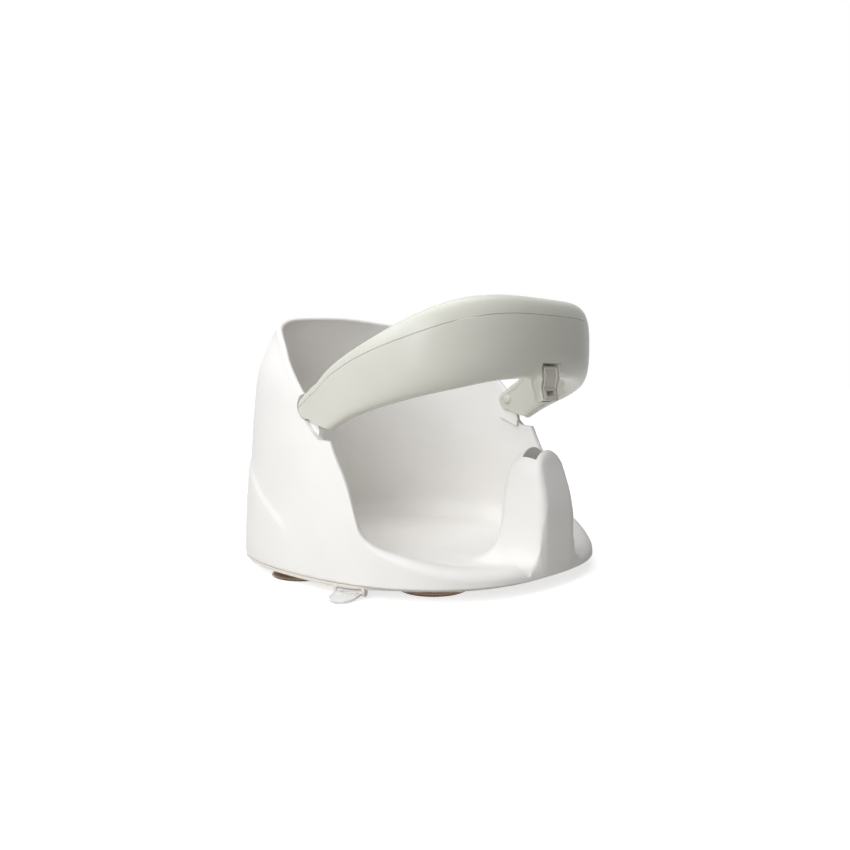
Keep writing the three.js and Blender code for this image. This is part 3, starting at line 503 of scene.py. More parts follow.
class BathSeatLooks(bpy.types.PropertyGroup):
    white: colour("White plastic", "Colour of the seat shell", (0.87, 0.852, 0.826))
    cream: colour("Cream plastic", "Colour of the base plate", (0.80, 0.755, 0.68))
    sage: colour("Sage plastic", "Colour of the bar", (0.635, 0.63, 0.565))
    lever: colour("Lever plastic", "Colour of the latch lever", (0.56, 0.54, 0.47))
    vinyl: colour("Smoky vinyl", "Colour of the suction cups", (0.43, 0.3, 0.22))
    tab: colour("Milky vinyl", "Colour of the release tabs", (0.9, 0.893, 0.875))
    steel: colour("Steel", "Colour of pins, screws and spring", (0.62, 0.62, 0.63))
    floor: colour("Floor", "Colour of the floor under the seat", (0.6, 0.59, 0.57))


# Seat shell

def outline_distance(size, angle, half_width, half_length):
    """How far the rounded outline lies from the middle at an angle from the back."""
    across = (abs(math.sin(angle)) / half_width) ** size.roundness
    along = (abs(math.cos(angle)) / half_length) ** size.roundness
    return (across + along) ** (-1 / size.roundness)


def wall_distance(size, angle, z, proud):
    """How far the wall's outside lies from the middle at an angle and a height."""
    width_share, length_share = smooth_table(LEAN, z / size.backrest)
    return outline_distance(size, angle, size.half_width * width_share + proud,
                            size.half_length * length_share + proud)


def quarter_turns(count, last=True):
    """Even turns from nothing to a quarter circle."""
    return [s * math.pi / 2 for s in shares(count, last)]


def rim_roll(size, rim, leg):
    """The rim's run and drop outwards and then inwards, which grow towards the leg openings."""
    half_wall, depth = size.wall / 2, rim - size.floor_top
    outer_run, outer_drop = mix(half_wall, size.rim_run, leg), mix(half_wall, size.rim_drop, leg)
    inner_drop = depth * outer_drop / (depth + outer_drop) * mix(1, 0.5, leg)
    return outer_run, outer_drop, mix(half_wall, size.rim_inner, leg), inner_drop


def inside_section(size, rim, roll, wall):
    """From the floor's middle over its fillet, up the inside of the wall to the top of the rim."""
    outer_run, outer_drop, inner_run, inner_drop = roll
    depth = rim - size.floor_top - inner_drop
    fillet = depth * size.floor_fillet / (depth + size.floor_fillet)
    fillet_top = size.floor_top + fillet
    inner = outer_run + inner_run
    fillet_end = wall(fillet_top, 0) - inner - size.floor_fillet
    section = [(fillet_end * s, size.floor_top) for s in (0, 0.3, 0.6, 0.85)]
    section += [(fillet_end + size.floor_fillet * math.sin(turn), fillet_top - fillet * math.cos(turn))
                for turn in quarter_turns(9, False)]
    for s in shares(14, False):
        z = mix(fillet_top, rim - inner_drop, s)
        section.append((wall(z, 0) - inner, z))
    top = wall(rim - outer_drop, 0) - outer_run
    section += [(top - inner_run * math.cos(turn), rim - inner_drop * (1 - math.sin(turn)))
                for turn in quarter_turns(7, False)]
    return section


def outside_section(size, degrees, rim, roll, wall):
    """From the top of the rim down the wall and over the skirt's step to its rounded edge."""
    outer_run, outer_drop = roll[:2]
    wall_top, edge_top = rim - outer_drop, size.skirt_bottom + size.skirt_edge
    rise = (wall_top - edge_top) * smooth_table(SKIRT_LINE, degrees)[0]
    line = edge_top + rise
    step = size.skirt_step * rise / (size.skirt_step + rise) / 2
    spread = ease(STEP_SPREAD, degrees)
    step_span = mix(line - step, edge_top, spread), mix(line + step, wall_top, spread)

    def outer(z):
        return (wall(z, 1 - ease(step_span, z)), z)

    top, edge = wall(wall_top, 0) - outer_run, wall(edge_top, 1) - size.skirt_edge
    section = [(top + outer_run * math.sin(turn), rim - outer_drop * (1 - math.cos(turn)))
               for turn in quarter_turns(7)]
    section += [outer(mix(wall_top, line + step, s)) for s in shares(14, False)[1:]]
    section += [outer(mix(line + step, line - step, s)) for s in shares(6)]
    section += [outer(mix(line - step, edge_top, s)) for s in shares(5)[1:]]
    section += [(edge + size.skirt_edge * math.cos(turn), edge_top - size.skirt_edge * math.sin(turn))
                for turn in quarter_turns(4)[1:]]
    return section


def shell_section(size, degrees):
    """One upright section of the shell as (distance, height), over the rim and back underneath."""
    angle = math.radians(degrees)
    faded = ease(SKIRT_FADE, degrees)

    def wall(z, share):
        return wall_distance(size, angle, z, size.skirt_proud * max(share, faded))

    rim = size.backrest * smooth_table(RIM, degrees)[0]
    roll = rim_roll(size, rim, ease(LEG_RIM, degrees))
    foot = wall(size.skirt_bottom, 1) - size.skirt_wall
    underneath = [(foot, size.skirt_bottom), (foot, size.floor_bottom)]
    underneath += [(foot * s, size.floor_bottom) for s in (0.7, 0.35, 0)]
    inside = inside_section(size, rim, roll, wall)
    return inside + outside_section(size, degrees, rim, roll, wall) + underneath


def shell_angles():
    """The angles of the shell's columns, from the front round the back to the front again."""
    side = [mix(a, b, k / n) for a, b, n in COLUMN_SPANS for k in range(n)] + [180]
    return [-d for d in reversed(side)] + side[1:]


def shell_mesh(size):
    """The bucket, skirt and rims as one closed solid."""
    angles = shell_angles()
    sections = [shell_section(size, abs(d)) for d in angles]

    def place(i, j):
        distance, z = sections[i][j]
        angle = math.radians(angles[i])
        return Vector((-distance * math.sin(angle), distance * math.cos(angle), z))

    return closed(mapped_grid(len(angles) - 1, len(sections[0]) - 1, place))


def post_ring(size, width, front, back, radius, steps=9, between=5):
    """A rounded rectangle in plan, with points along its straight sides too."""
    half = size.post_half_width * width
    front, back = size.post_front * front, size.post_back * back
    corners = [(half - radius, -back - radius), (radius - half, -back - radius),
               (radius - half, radius - front), (half - radius, radius - front)]
    points = []
    for k, (x, y) in enumerate(corners):
        arc_points = arc(x, y, radius, 90 * k, 90 * (k + 1), steps)
        next_x, next_y = corners[(k + 1) % 4]
        turn = math.radians(90 * (k + 1))
        after = (next_x + radius * math.cos(turn), next_y + radius * math.sin(turn))
        points += arc_points
        points += [tuple(mix(p, q, s) for p, q in zip(arc_points[-1], after))
                   for s in shares(between, False)[1:]]
    return points


def post_mesh(size):
    """The crotch post as a solid, under its vaulted and crowned top."""
    heights = [mix(POST[0][0], POST[-1][0], k / 48) for k in range(49)]
    rings = [post_ring(size, *smooth_table(POST, h), size.post_corner) for h in heights]

    def place(i, j):
        x, y = rings[j][i % len(rings[j])]
        return Vector((x, y, heights[j] * size.post_top))

    body = closed(mapped_grid(len(rings[0]), len(rings) - 1, place))
    post = combined(body, post_cap(size), "INTERSECT")
    soften(post, lambda p: p.z > size.post_top * 0.6, angle=0.35, rings=2, rounds=14)
    return post


def post_cap(size):
    """A wide body whose top is the vault of the post's top, crowned from back to front."""
    shoulder = math.degrees(math.asin(size.post_half_width / size.post_vault))
    reach = size.post_half_width + size.post_top / math.tan(math.radians(shoulder))
    along = [mix(CROWN[0][0], CROWN[-1][0], k / 70) for k in range(71)]

    def vault(j):
        middle = size.post_top * smooth_table(CROWN, along[j])[0] - size.post_vault
        bow = arc(0, middle, size.post_vault, 90 - shoulder, 90 + shoulder, 28)
        foot = bow[0][1] - size.post_top
        return [(reach, foot), *bow, (-reach, foot)]

    rings = [vault(j) for j in range(len(along))]

    def place(i, j):
        x, z = rings[j][i % len(rings[j])]
        return Vector((x, -mix(size.post_back, size.post_front, along[j]), z))

    return closed(mapped_grid(len(rings[0]), len(along) - 1, place))


def skirt_envelope(size):
    """What stands over the skirt's outline, so that the post's foot follows it."""
    angles = shell_angles()
    edge = size.skirt_edge
    rows = [(edge, 0), (edge * 0.3, edge * 0.3), (0, edge), (0, size.post_top)]

    def place(i, j):
        inset, rise = rows[j]
        angle = math.radians(angles[i])
        skirt = wall_distance(size, angle, size.skirt_bottom, size.skirt_proud)
        distance = skirt - inset - POST_INSET
        return Vector((-distance * math.sin(angle), distance * math.cos(angle), size.skirt_bottom + rise))

    return closed(mapped_grid(len(angles) - 1, len(rows) - 1, place))


def hinge_points(size, corners):
    """Corners given in knuckle radii from the hinge, as places in Y and Z."""
    return [(-size.hinge_back + size.knuckle * y, size.hinge_height + size.knuckle * z) for y, z in corners]


# The post stands back from the skirt's face, and its foot is softened within these distances
POST_INSET = 0.0001
FOOT_HALF_WIDTH = 0.075
FOOT_BACK = 0.075
FOOT_TOP = 0.06
FOOT_MARGIN = 0.001
# The slot in the post's top, from the post's front, its middle and its top
SLOT_FRONT_WALL = 0.0036
SLOT_BACK = 0.018
SLOT_HALF_WIDTH = 0.0163
SLOT_DEPTH = 0.032
# The hollow under the slot: its rise over the slot's floor, and its half width as a share of the post's
HOLLOW_RISE = 0.004
HOLLOW_SHARE = 0.82
# The catch in the slot, which the lever's window hooks over
CATCH_DROP = 0.0095
CATCH_THICKNESS = 0.0012
CATCH_LENGTH = 0.0058
CATCH_HALF_WIDTH = 0.005
# The hinge's notch in a side wall, and the lug in it that holds the pin
NOTCH_CLEARANCE = 0.0011
NOTCH_DEPTH = 0.021
LUG_RADIUS = 0.0076
LUG_INNER = 0.009
LUG_OUTER = 0.0042
PIN_BORE = 0.0033


def hollowed_post(size, seat):
    """Opens the slot in the post's top, and hollows the post from underneath."""
    front, back = size.post_front - SLOT_FRONT_WALL, size.post_front - SLOT_BACK
    slot_floor = size.post_top - SLOT_DEPTH
    slot = block((-SLOT_HALF_WIDTH, -front, slot_floor), (SLOT_HALF_WIDTH, -back, size.post_top + OVERRUN))
    seat = combined(seat, slot, "DIFFERENCE")
    ring = post_ring(size, 1.1, 1, 1, size.post_corner, 6, 1)
    rows = 12

    def place(i, j):
        x, y = ring[i % len(ring)]
        width = smooth_table(POST, mix(0.1, 0.76, j / rows))[0]
        z = mix(size.skirt_bottom - OVERRUN, slot_floor + HOLLOW_RISE, j / rows)
        return Vector((x * width * HOLLOW_SHARE, y, z))

    return combined(seat, closed(mapped_grid(len(ring), rows, place)), "DIFFERENCE")


def catch_mesh(size):
    """The catch on the front wall of the slot, with a sloping top at its root."""
    wall = SLOT_FRONT_WALL - size.post_front
    top = size.post_top - CATCH_DROP
    outline = [(wall - OVERRUN, top - CATCH_THICKNESS), (wall + CATCH_LENGTH, top - CATCH_THICKNESS),
               (wall + CATCH_LENGTH, top), (wall - OVERRUN, top + 2 * CATCH_THICKNESS)]
    return prism(outline, -CATCH_HALF_WIDTH, CATCH_HALF_WIDTH)


def with_hinge(size, seat, side):
    """Cuts the notch for the bar's arm in one side wall, and adds the lug that holds its pin."""
    hinge = (-size.hinge_back, size.hinge_height)
    notch = arc(*hinge, size.knuckle + NOTCH_CLEARANCE, 110, -76) + hinge_points(size, NOTCH_CORNERS)
    first, last = side * (size.bar_half_width - NOTCH_DEPTH), side * (size.half_width + size.skirt_wall)
    seat = combined(seat, prism(notch, first, last), "DIFFERENCE")
    lug_outline = arc(*hinge, LUG_RADIUS, 10, 200, 24) + hinge_points(size, LUG_CORNERS)
    inner, outer = size.bar_half_width - LUG_INNER, size.bar_half_width - LUG_OUTER
    lug = prism(lug_outline, side * inner, side * outer)
    bore = rod(PIN_BORE, side * (inner - OVERRUN), side * (outer + OVERRUN), hinge)
    return combined(seat, combined(lug, bore, "DIFFERENCE"), "UNION")


class BuildSeatShell(bpy.types.Operator):
    """Builds the white bucket with its skirt, rims, crotch post, slot, notches and lugs"""

    bl_idname = "bath_seat.shell"
    bl_label = "Seat shell"

    def execute(self, context):
        size = context.scene.bath_seat_sizes
        post = combined(post_mesh(size), skirt_envelope(size), "INTERSECT")
        seat = combined(shell_mesh(size), post, "UNION")

        def at_foot(p):
            near = abs(p.x) < FOOT_HALF_WIDTH and p.y < -FOOT_BACK
            return near and size.floor_top - FOOT_MARGIN < p.z < FOOT_TOP

        soften(seat, at_foot, angle=0.3, rings=3, rounds=26)
        seat = hollowed_post(size, seat)
        seat = combined(seat, catch_mesh(size), "UNION")
        for side in (-1, 1):
            seat = with_hinge(size, seat, side)
        dress(seat, "seat_shell_moulding", "seat_shell", sharp=64)
        return {"FINISHED"}


# Bar

# The gap at the seam between the bar's two shells, and the chamfer of their edges at it
SEAM_GAP = 0.0002
SEAM_CHAMFER = 0.0003
# What stays of the arm's outer face over the pin's blind bore
BORE_SKIN = 0.0014


def bar_place(size, degrees):
    """A point of the bar's outer face in plan, and the direction inwards."""
    side = math.copysign(1, degrees)
    middle = -size.bar_middle
    if abs(degrees) > 90:
        share = (abs(degrees) - 90) / (BAR[-1][0] - 90)
        return (Vector((side * size.bar_half_width, middle + size.bar_straight * share, 0)),
                Vector((-side, 0, 0)))
    angle = math.radians(abs(degrees))
    across, along = [v ** (2 / size.roundness) for v in (math.sin(angle), max(math.cos(angle), 0))]
    point = Vector((side * size.bar_half_width * across, middle - size.bar_half_length * along, 0))
    inward = Vector((-side * across ** (size.roundness - 1) / size.bar_half_width,
                     along ** (size.roundness - 1) / size.bar_half_length, 0))
    return point, inward.normalized()


def bar_ring(size, degrees, upper):
    """The bar's hollow section above or below the seam, as one closed ring."""
    top_share, bottom_share, depth_share, roundness, seam_share = smooth_table(BAR, abs(degrees))
    top, bottom = size.bar_top * top_share, size.bar_bottom * bottom_share
    depth = size.bar_depth * depth_share
    point, inward = bar_place(size, degrees)
    middle = (top + bottom) / 2
    seam = top - (top - bottom) * seam_share + (SEAM_GAP if upper else -SEAM_GAP) / 2
    steps = 26 if upper else 52

    def curve(inset, seam_lift, forward):
        """One side of the section, from the seam's outer edge to its inner edge or back."""
        half_height, half_depth = (top - bottom) / 2 - inset, depth / 2 - inset
        start = math.asin(((seam + seam_lift - middle) / half_height) ** (roundness / 2))
        first, last = (start, math.pi - start) if upper else (start, -math.pi - start)
        ring = []
        for k in range(steps + 1):
            angle = mix(first, last, (k if forward else steps - k) / steps)
            across, up = math.cos(angle), math.sin(angle)
            away = half_depth * math.copysign(abs(across) ** (2 / roundness), across)
            rise = half_height * math.copysign(abs(up) ** (2 / roundness), up)
            flat = point + inward * (depth / 2 - away)
            ring.append(Vector((flat.x, flat.y, middle + rise)))
        return ring

    outer = curve(0, SEAM_CHAMFER if upper else -SEAM_CHAMFER, True)
    pared = curve(SEAM_CHAMFER, 0, True)
    inner = curve(size.bar_wall, 0, False)
    return [pared[0], *outer, pared[-1], *inner]


def bar_mesh(size, upper):
    """One hollow shell of the bar, from the left arm's end round the front to the right one's."""
    side = [mix(0, 90, k / 66) for k in range(66)] + [90, 92, 94, 96, 98]
    angles = [-d for d in reversed(side)] + side[1:]
    rings = [bar_ring(size, d, upper) for d in angles]
    count = len(rings[0])
    return closed(mapped_grid(len(angles) - 1, count, lambda i, j: rings[i][j % count]))


def trimmed_arms(size, bm):
    """Cuts the arms' rounded ends and the blind bores of the pins."""
    hinge = (-size.hinge_back, size.hinge_height)
    bend = arc(*hinge, size.knuckle, 75, -100)
    corners = hinge_points(size, END_CORNERS)
    reach = size.knuckle * 5
    outline = [*bend, *corners, (corners[-1][0], hinge[1] - reach), (hinge[0] + reach, hinge[1] - reach),
               (hinge[0] + reach, hinge[1] + reach), (bend[0][0], hinge[1] + reach)]
    for side in (-1, 1):
        first, last = side * (size.bar_half_width - size.bar_depth), side * (size.bar_half_width + OVERRUN)
        bm = combined(bm, prism(outline, first, last), "DIFFERENCE")
        bore = rod(PIN_BORE, first, side * (size.bar_half_width - BORE_SKIN), hinge)
        bm = combined(bm, bore, "DIFFERENCE")
    return bm


# The latch's socket under the bar's front, in a frame of its own that leans back. Its height, half
# depth, half width at its foot and where it reaches furthest forward, and its rounded corners
BOSS_POSE = Matrix.Translation((0, -0.154588, 0.160998)) @ Matrix.Rotation(-math.radians(14), 4, "X")
BOSS_HEIGHT = 0.035045
BOSS_DEPTH = 0.0045
BOSS_HALF = 0.0132
BOSS_WIDE_HALF = 0.0156
BOSS_FRONT_CORNER = 0.0028
BOSS_BACK_CORNER = 0.0022
# How far the socket reaches forward, in shares of its reach by shares of its height, and how softly
BOSS_FORWARD = 0.0064
BOSS_BENDS = [(0, 0), (0.3, 0), (0.58, 0.9), (1, 1)]
BOSS_SOFTNESS = 0.0016
# The bar's underside is softened round the socket's root, between these heights
ROOT_LOW = 0.176
ROOT_HIGH = 0.2
ROOT_HALF_WIDTH = 0.026
ROOT_FRONT = 0.135
# The pocket for the lever: height, half width, and its back, which steps forward behind the window
POCKET_HEIGHT = 0.031445
POCKET_HALF = 0.0107
POCKET_BACK = 0.0034
POCKET_UPPER_BACK = 0.0019
POCKET_STEP = (0.0105, 0.0135)
POCKET_CORNER = 0.0012
# The shallow rebate round the pocket, and the small corners of both
REBATE_DEPTH = 0.002
REBATE_RIM = 0.0014
REBATE_CORNER = 0.0003
CRISP_CORNER = 0.0002
# The lever's pin: its height, its distance behind the middle, half of its length and its bore
LEVER_PIVOT = 0.028045
PIVOT_SETBACK = 0.0009
LEVER_PIN_HALF = 0.0127
LEVER_PIN_BORE = 0.0014
# A straight side longer than this gets points along it
LONG_SIDE = 0.002


def boss_reach(height):
    """How far the socket and the lever reach forward at a height above the foot."""
    share = min(height / BOSS_HEIGHT, 1)
    for (low, start), (high, end) in zip(BOSS_BENDS, BOSS_BENDS[1:]):
        if share <= high:
            return BOSS_FORWARD * mix(start, end, (share - low) / (high - low))
    return BOSS_FORWARD


def soft_reach(height):
    """The same with its bends rounded."""
    steps = 9
    nearby = [height + BOSS_SOFTNESS * (k / steps * 2 - 1) for k in range(steps + 1)]
    return sum(boss_reach(max(h, 0)) for h in nearby) / (steps + 1)


def boss_half(reach):
    """Half width of the socket where it reaches this far forward."""
    return mix(BOSS_HALF, BOSS_WIDE_HALF, reach / BOSS_FORWARD)


def lever_pivot():
    """The lever's axis in the socket's frame."""
    return (-PIVOT_SETBACK - boss_reach(LEVER_PIVOT), LEVER_PIVOT)


def in_boss(bm):
    """Moves a mesh from the socket's frame into the seat's."""
    bmesh.ops.transform(bm, matrix=BOSS_POSE, verts=bm.verts)
    return bm


def rounded_ring(half, front, back, front_radius, back_radius, steps=5, between=1):
    """A rounded rectangle across the socket, from its front to its back."""
    corners = [(half, back, back_radius, 0), (-half, back, back_radius, 90),
               (-half, front, front_radius, 180), (half, front, front_radius, 270)]
    points = []
    for x, y, radius, turn in corners:
        middle = (x - math.copysign(radius, x), y - radius if turn < 180 else y + radius)
        points += arc(*middle, radius, turn, turn + 90, steps)
    filled = []
    for k, point in enumerate(points):
        after = points[(k + 1) % len(points)]
        count = between if math.dist(point, after) > LONG_SIDE else 1
        filled += [tuple(mix(a, b, s) for a, b in zip(point, after)) for s in shares(count, False)]
    return filled


def ring_loft(rings, heights):
    """A solid through rings at their heights."""
    count = len(rings[0])

    def place(i, j):
        return Vector((*rings[j][i % count], heights[j]))

    return closed(mapped_grid(count, len(rings) - 1, place))


def boss_mesh():
    """The socket under the bar's front, with soft corners."""
    heights = [BOSS_HEIGHT * s for s in shares(36)]
    rings = []
    for reach in map(soft_reach, heights):
        rings.append(rounded_ring(boss_half(reach), -BOSS_DEPTH - reach, BOSS_DEPTH, BOSS_FRONT_CORNER,
                                  BOSS_BACK_CORNER, steps=6, between=8))
    return in_boss(ring_loft(rings, heights))


def pocket_mesh():
    """What is cut from the socket for the lever, with its pin's bore."""
    heights = [-OVERRUN, *[POCKET_HEIGHT * s for s in shares(24)]]
    front = -BOSS_DEPTH - BOSS_FORWARD - OVERRUN
    pocket_rings, rebate_rings = [], []
    for height in heights:
        reach = soft_reach(max(height, 0))
        back = mix(POCKET_BACK, POCKET_UPPER_BACK, ease(POCKET_STEP, height)) - reach
        pocket_rings.append(rounded_ring(POCKET_HALF, front, back, CRISP_CORNER, POCKET_CORNER, 3))
        rebate_rings.append(rounded_ring(boss_half(reach) - REBATE_RIM, front,
                                         REBATE_DEPTH - BOSS_DEPTH - reach, CRISP_CORNER, REBATE_CORNER, 3))
    pocket = combined(ring_loft(pocket_rings, heights), ring_loft(rebate_rings, heights), "UNION")
    bore = rod(LEVER_PIN_BORE, -LEVER_PIN_HALF, LEVER_PIN_HALF, lever_pivot(), 24)
    return in_boss(combined(pocket, bore, "UNION"))


class BuildBar(bpy.types.Operator):
    """Builds the two shells of the swing bar, the lower one with the latch's socket"""

    bl_idname = "bath_seat.bar"
    bl_label = "Swing bar"

    def execute(self, context):
        size = context.scene.bath_seat_sizes
        dress(trimmed_arms(size, bar_mesh(size, True)), "bar_top_moulding", "bar_upper_shell", sharp=38)
        lower = combined(trimmed_arms(size, bar_mesh(size, False)), boss_mesh(), "UNION")

        def at_root(p):
            return ROOT_LOW < p.z < ROOT_HIGH and abs(p.x) < ROOT_HALF_WIDTH and p.y < -ROOT_FRONT

        soften(lower, at_root, angle=0.3, rings=8, rounds=40)
        lower = combined(lower, pocket_mesh(), "DIFFERENCE")
        dress(lower, "bar_lower_moulding", "bar_lower_shell", sharp=38)
        return {"FINISHED"}


# Latch

# The lever's face behind the socket's middle, and how much deeper its upper end lies
LEVER_FACE = 0.0037
LEVER_SINK = 0.001
LEVER_SINK_SPAN = (0.011, 0.022)
LEVER_FOOT = 0.0006
LEVER_HALF = 0.0098
LEVER_THICKNESS = 0.0026
LEVER_CORNER = 0.0004
RIB_HALF = 0.0009
RIB_PROUD = 0.0014
RIB_ROOT = 0.0008
RIB_START = 0.0094
# The window, the raised frame round it and the hollow behind it, as box corners
WINDOW = ((-0.006, -0.006, 0.0038), (0.006, 0.001, 0.0084))
WINDOW_FRAME = ((-0.0086, -0.005, 0.0013), (0.0086, -0.0035, 0.0107))
WINDOW_HOLLOW = ((-0.0076, -0.004, 0.0026), (0.0076, 0.001, 0.0096))
# The barrel on the lever's axis, and the gap in it for the spring: half width, and reach on each side
BARREL_RADIUS = 0.0022
SPRING_GAP_HALF = 0.003
SPRING_GAP_FRONT = 0.0016
SPRING_GAP_BACK = 0.0024
SPRING_GAP_LOW = 0.0028
SPRING_GAP_HIGH = 0.0019
# The spring: radius of its wire and of its turns, half length, and its legs' ends
WIRE_RADIUS = 0.00025
COIL_RADIUS = 0.0013
COIL_TURNS = 3
COIL_STEPS = 18
COIL_HALF = 0.00235
UPPER_LEG = (0, 0.0004, -0.004)
LOWER_LEG = (0, 0.0004, 0.002)
# Heads of the hinge pins, and the cap over each as (radius, height), from its top round to its inside
PIN_CHAMFER = 0.0003
PIN_SHANK = 0.003
PIN_HEAD = 0.0046
PIN_HEAD_LENGTH = 0.0016
PIN_DOME = [(0, 0.0006), (0.6, 0.0006), (0.88, 0.0008), (1, 0.0012)]
CAP_PROFILE = [
    (0, 0.0001), (0.0018, 0.00018), (0.0034, 0.00045), (0.0045, 0.0009), (0.005, 0.0015),
    (0.0048, 0.0015), (0.0044, 0.0011), (0.0034, 0.0006), (0, 0.0004),
]


def lever_front(height):
    """The lever's face in the socket's frame; its upper end lies deeper than the socket's edge."""
    return -LEVER_FACE - soft_reach(height) + LEVER_SINK * ease(LEVER_SINK_SPAN, height)


def lever_plate():
    """The lever's curved plate, from its foot to its axis."""
    heights = [mix(LEVER_FOOT, LEVER_PIVOT, s) for s in shares(30)]
    faces = [lever_front(h) for h in heights]
    rings = [rounded_ring(LEVER_HALF, face, face + LEVER_THICKNESS, LEVER_CORNER, LEVER_CORNER, 3)
             for face in faces]
    return ring_loft(rings, heights)


def lever_rib(side):
    """A rib along one side of the lever, above its window."""
    heights = [mix(RIB_START, LEVER_PIVOT - LEVER_CORNER, s) for s in shares(24)]
    faces = [lever_front(h) for h in heights]
    rings = [rounded_ring(RIB_HALF, face - RIB_PROUD, face + RIB_ROOT, LEVER_CORNER, CRISP_CORNER, 3)
             for face in faces]
    rib = ring_loft(rings, heights)
    bmesh.ops.translate(rib, verts=rib.verts, vec=(side * (LEVER_HALF - RIB_HALF), 0, 0))
    return rib


def lever_mesh():
    """The curved lever with ribs at its sides and a frame round its window."""
    plate = lever_plate()
    for side in (-1, 1):
        plate = combined(plate, lever_rib(side), "UNION")
    plate = combined(plate, block(*WINDOW_FRAME), "UNION")
    plate = combined(plate, block(*WINDOW), "DIFFERENCE")
    plate = combined(plate, block(*WINDOW_HOLLOW), "DIFFERENCE")
    pivot = lever_pivot()
    plate = combined(plate, rod(BARREL_RADIUS, -LEVER_HALF, LEVER_HALF, pivot, 32), "UNION")
    gap = block((-SPRING_GAP_HALF, pivot[0] - SPRING_GAP_FRONT, pivot[1] - SPRING_GAP_LOW),
                (SPRING_GAP_HALF, pivot[0] + SPRING_GAP_BACK, pivot[1] + SPRING_GAP_HIGH))
    plate = combined(plate, gap, "DIFFERENCE")
    bore = rod(LEVER_PIN_BORE, -LEVER_HALF - OVERRUN, LEVER_HALF + OVERRUN, pivot, 24)
    return in_boss(combined(plate, bore, "DIFFERENCE"))


def drawn_out(bm, edges, reach):
    """Extrudes a ring of edges by a reach."""
    moved = bmesh.ops.extrude_edge_only(bm, edges=edges)
    ends = [v for v in moved["geom"] if isinstance(v, bmesh.types.BMVert)]
    bmesh.ops.translate(bm, verts=ends, vec=reach)


def spring_mesh():
    """A torsion spring wound round the lever's pin, with its two legs."""
    pivot = lever_pivot()
    start = Matrix.Translation((-COIL_HALF, pivot[0] + COIL_RADIUS, pivot[1]))
    bm = bmesh.new()
    ring = bmesh.ops.create_circle(bm, segments=10, radius=WIRE_RADIUS, matrix=start)
    edges = list({e for v in ring["verts"] for e in v.link_edges})
    steps = COIL_TURNS * COIL_STEPS
    wound = bmesh.ops.spin(bm, geom=ring["verts"] + edges, cent=(-COIL_HALF, *pivot), axis=(-1, 0, 0),
                           dvec=(2 * COIL_HALF / steps, 0, 0), angle=2 * math.pi * COIL_TURNS, steps=steps)
    drawn_out(bm, [g for g in wound["geom_last"] if isinstance(g, bmesh.types.BMEdge)], UPPER_LEG)
    drawn_out(bm, [e for e in edges if e.is_valid], LOWER_LEG)
    return in_boss(closed(bm))


def box_middle(low, high):
    """The middle between a box's two corners."""
    return (low + high) / 2


def outward_turn(outwards):
    """Turns a shape from up to outwards along X."""
    return Matrix.Rotation(math.pi / 2 * outwards, 4, "Y")


def pin_mesh(name, head=0.0):
    """A pin along X in its node's box, with a chamfered end, and a head where it has one."""
    low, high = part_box(name)
    length = (high - low).x
    radius = PIN_SHANK if head else (high - low).z / 2
    if head:
        profile = [(head * share, height) for share, height in PIN_DOME]
        profile += [(head, PIN_HEAD_LENGTH), (radius, PIN_HEAD_LENGTH)]
    else:
        profile = [(0, 0), (radius - PIN_CHAMFER, 0), (radius, PIN_CHAMFER)]
    profile += [(radius, length - PIN_CHAMFER), (radius - PIN_CHAMFER, length), (0, length)]
    outwards = -1 if high.x < 0 else 1
    start = box_middle(low, high)
    start.x = low.x if outwards > 0 else high.x
    return lathe(profile, 40, Matrix.Translation(start) @ outward_turn(outwards))


def cap_mesh(name):
    """The round cap over the inner end of a hinge pin."""
    low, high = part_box(name)
    outwards = -1 if high.x < 0 else 1
    start = box_middle(low, high)
    start.x = low.x if outwards > 0 else high.x
    return lathe(CAP_PROFILE, 48, Matrix.Translation(start) @ outward_turn(outwards))


class BuildLatch(bpy.types.Operator):
    """Builds the latch lever, its pin and spring, and the bar's hinge pins with their caps"""

    bl_idname = "bath_seat.latch"
    bl_label = "Latch and hinge pins"

    def execute(self, context):
        dress(lever_mesh(), "latch_lever_moulding", "latch_lever", sharp=32, edge=0.0002)
        dress(pin_mesh("latch_lever_pin"), "latch_pin", "latch_lever_pin")
        dress(spring_mesh(), "latch_spring", "latch_lever_spring", sharp=60)
        for side in ("left", "right"):
            name = f"hinge_pin_{side}"
            dress(pin_mesh(name, PIN_HEAD), f"{name}_turned", name)
            dress(cap_mesh(name), f"hinge_cap_{side}", name, slot="sage_plastic")
        return {"FINISHED"}


# Underside

# The cup's section as (radius, height), from the middle of its hollow over the lip to its button head
CUP_PROFILE = [
    (0, 0.005), (0.0085, 0.0049), (0.0188, 0.0034), (0.0258, 0.0012), (0.0279, 0.0002), (0.0284, 0),
    (0.03, 0), (0.0304, 0.0003), (0.0304, 0.0009), (0.0301, 0.0013), (0.0292, 0.0014), (0.028, 0.0026),
    (0.0268, 0.0031), (0.0262, 0.0037), (0.0213, 0.0057), (0.0206, 0.0063), (0.0128, 0.0077),
    (0.006, 0.0077), (0.006, 0.0116), (0.0078, 0.0116), (0.0082, 0.012), (0.0082, 0.0129),
    (0.0076, 0.0138), (0.006, 0.0142), (0, 0.0142),
]
# The screw's head as (radius, height), its shank and thread, and the two bars of its recess
SCREW_DOME = [(0, 0), (0.0018, 0.0001), (0.0029, 0.0005), (0.0035, 0.0011), (0.0035, 0.0017)]
SCREW_SHANK = 0.0016
SCREW_ROOT = 0.0013
SCREW_PITCH = 0.0006
THREAD_START = 0.002
THREAD_END = 0.0062
SCREW_SHOULDER = 0.0064
SCREW_TIP = 0.007
RECESS_BARS = [(0.0018, 0.0004), (0.0004, 0.0018)]
RECESS_DEPTH = 0.0009
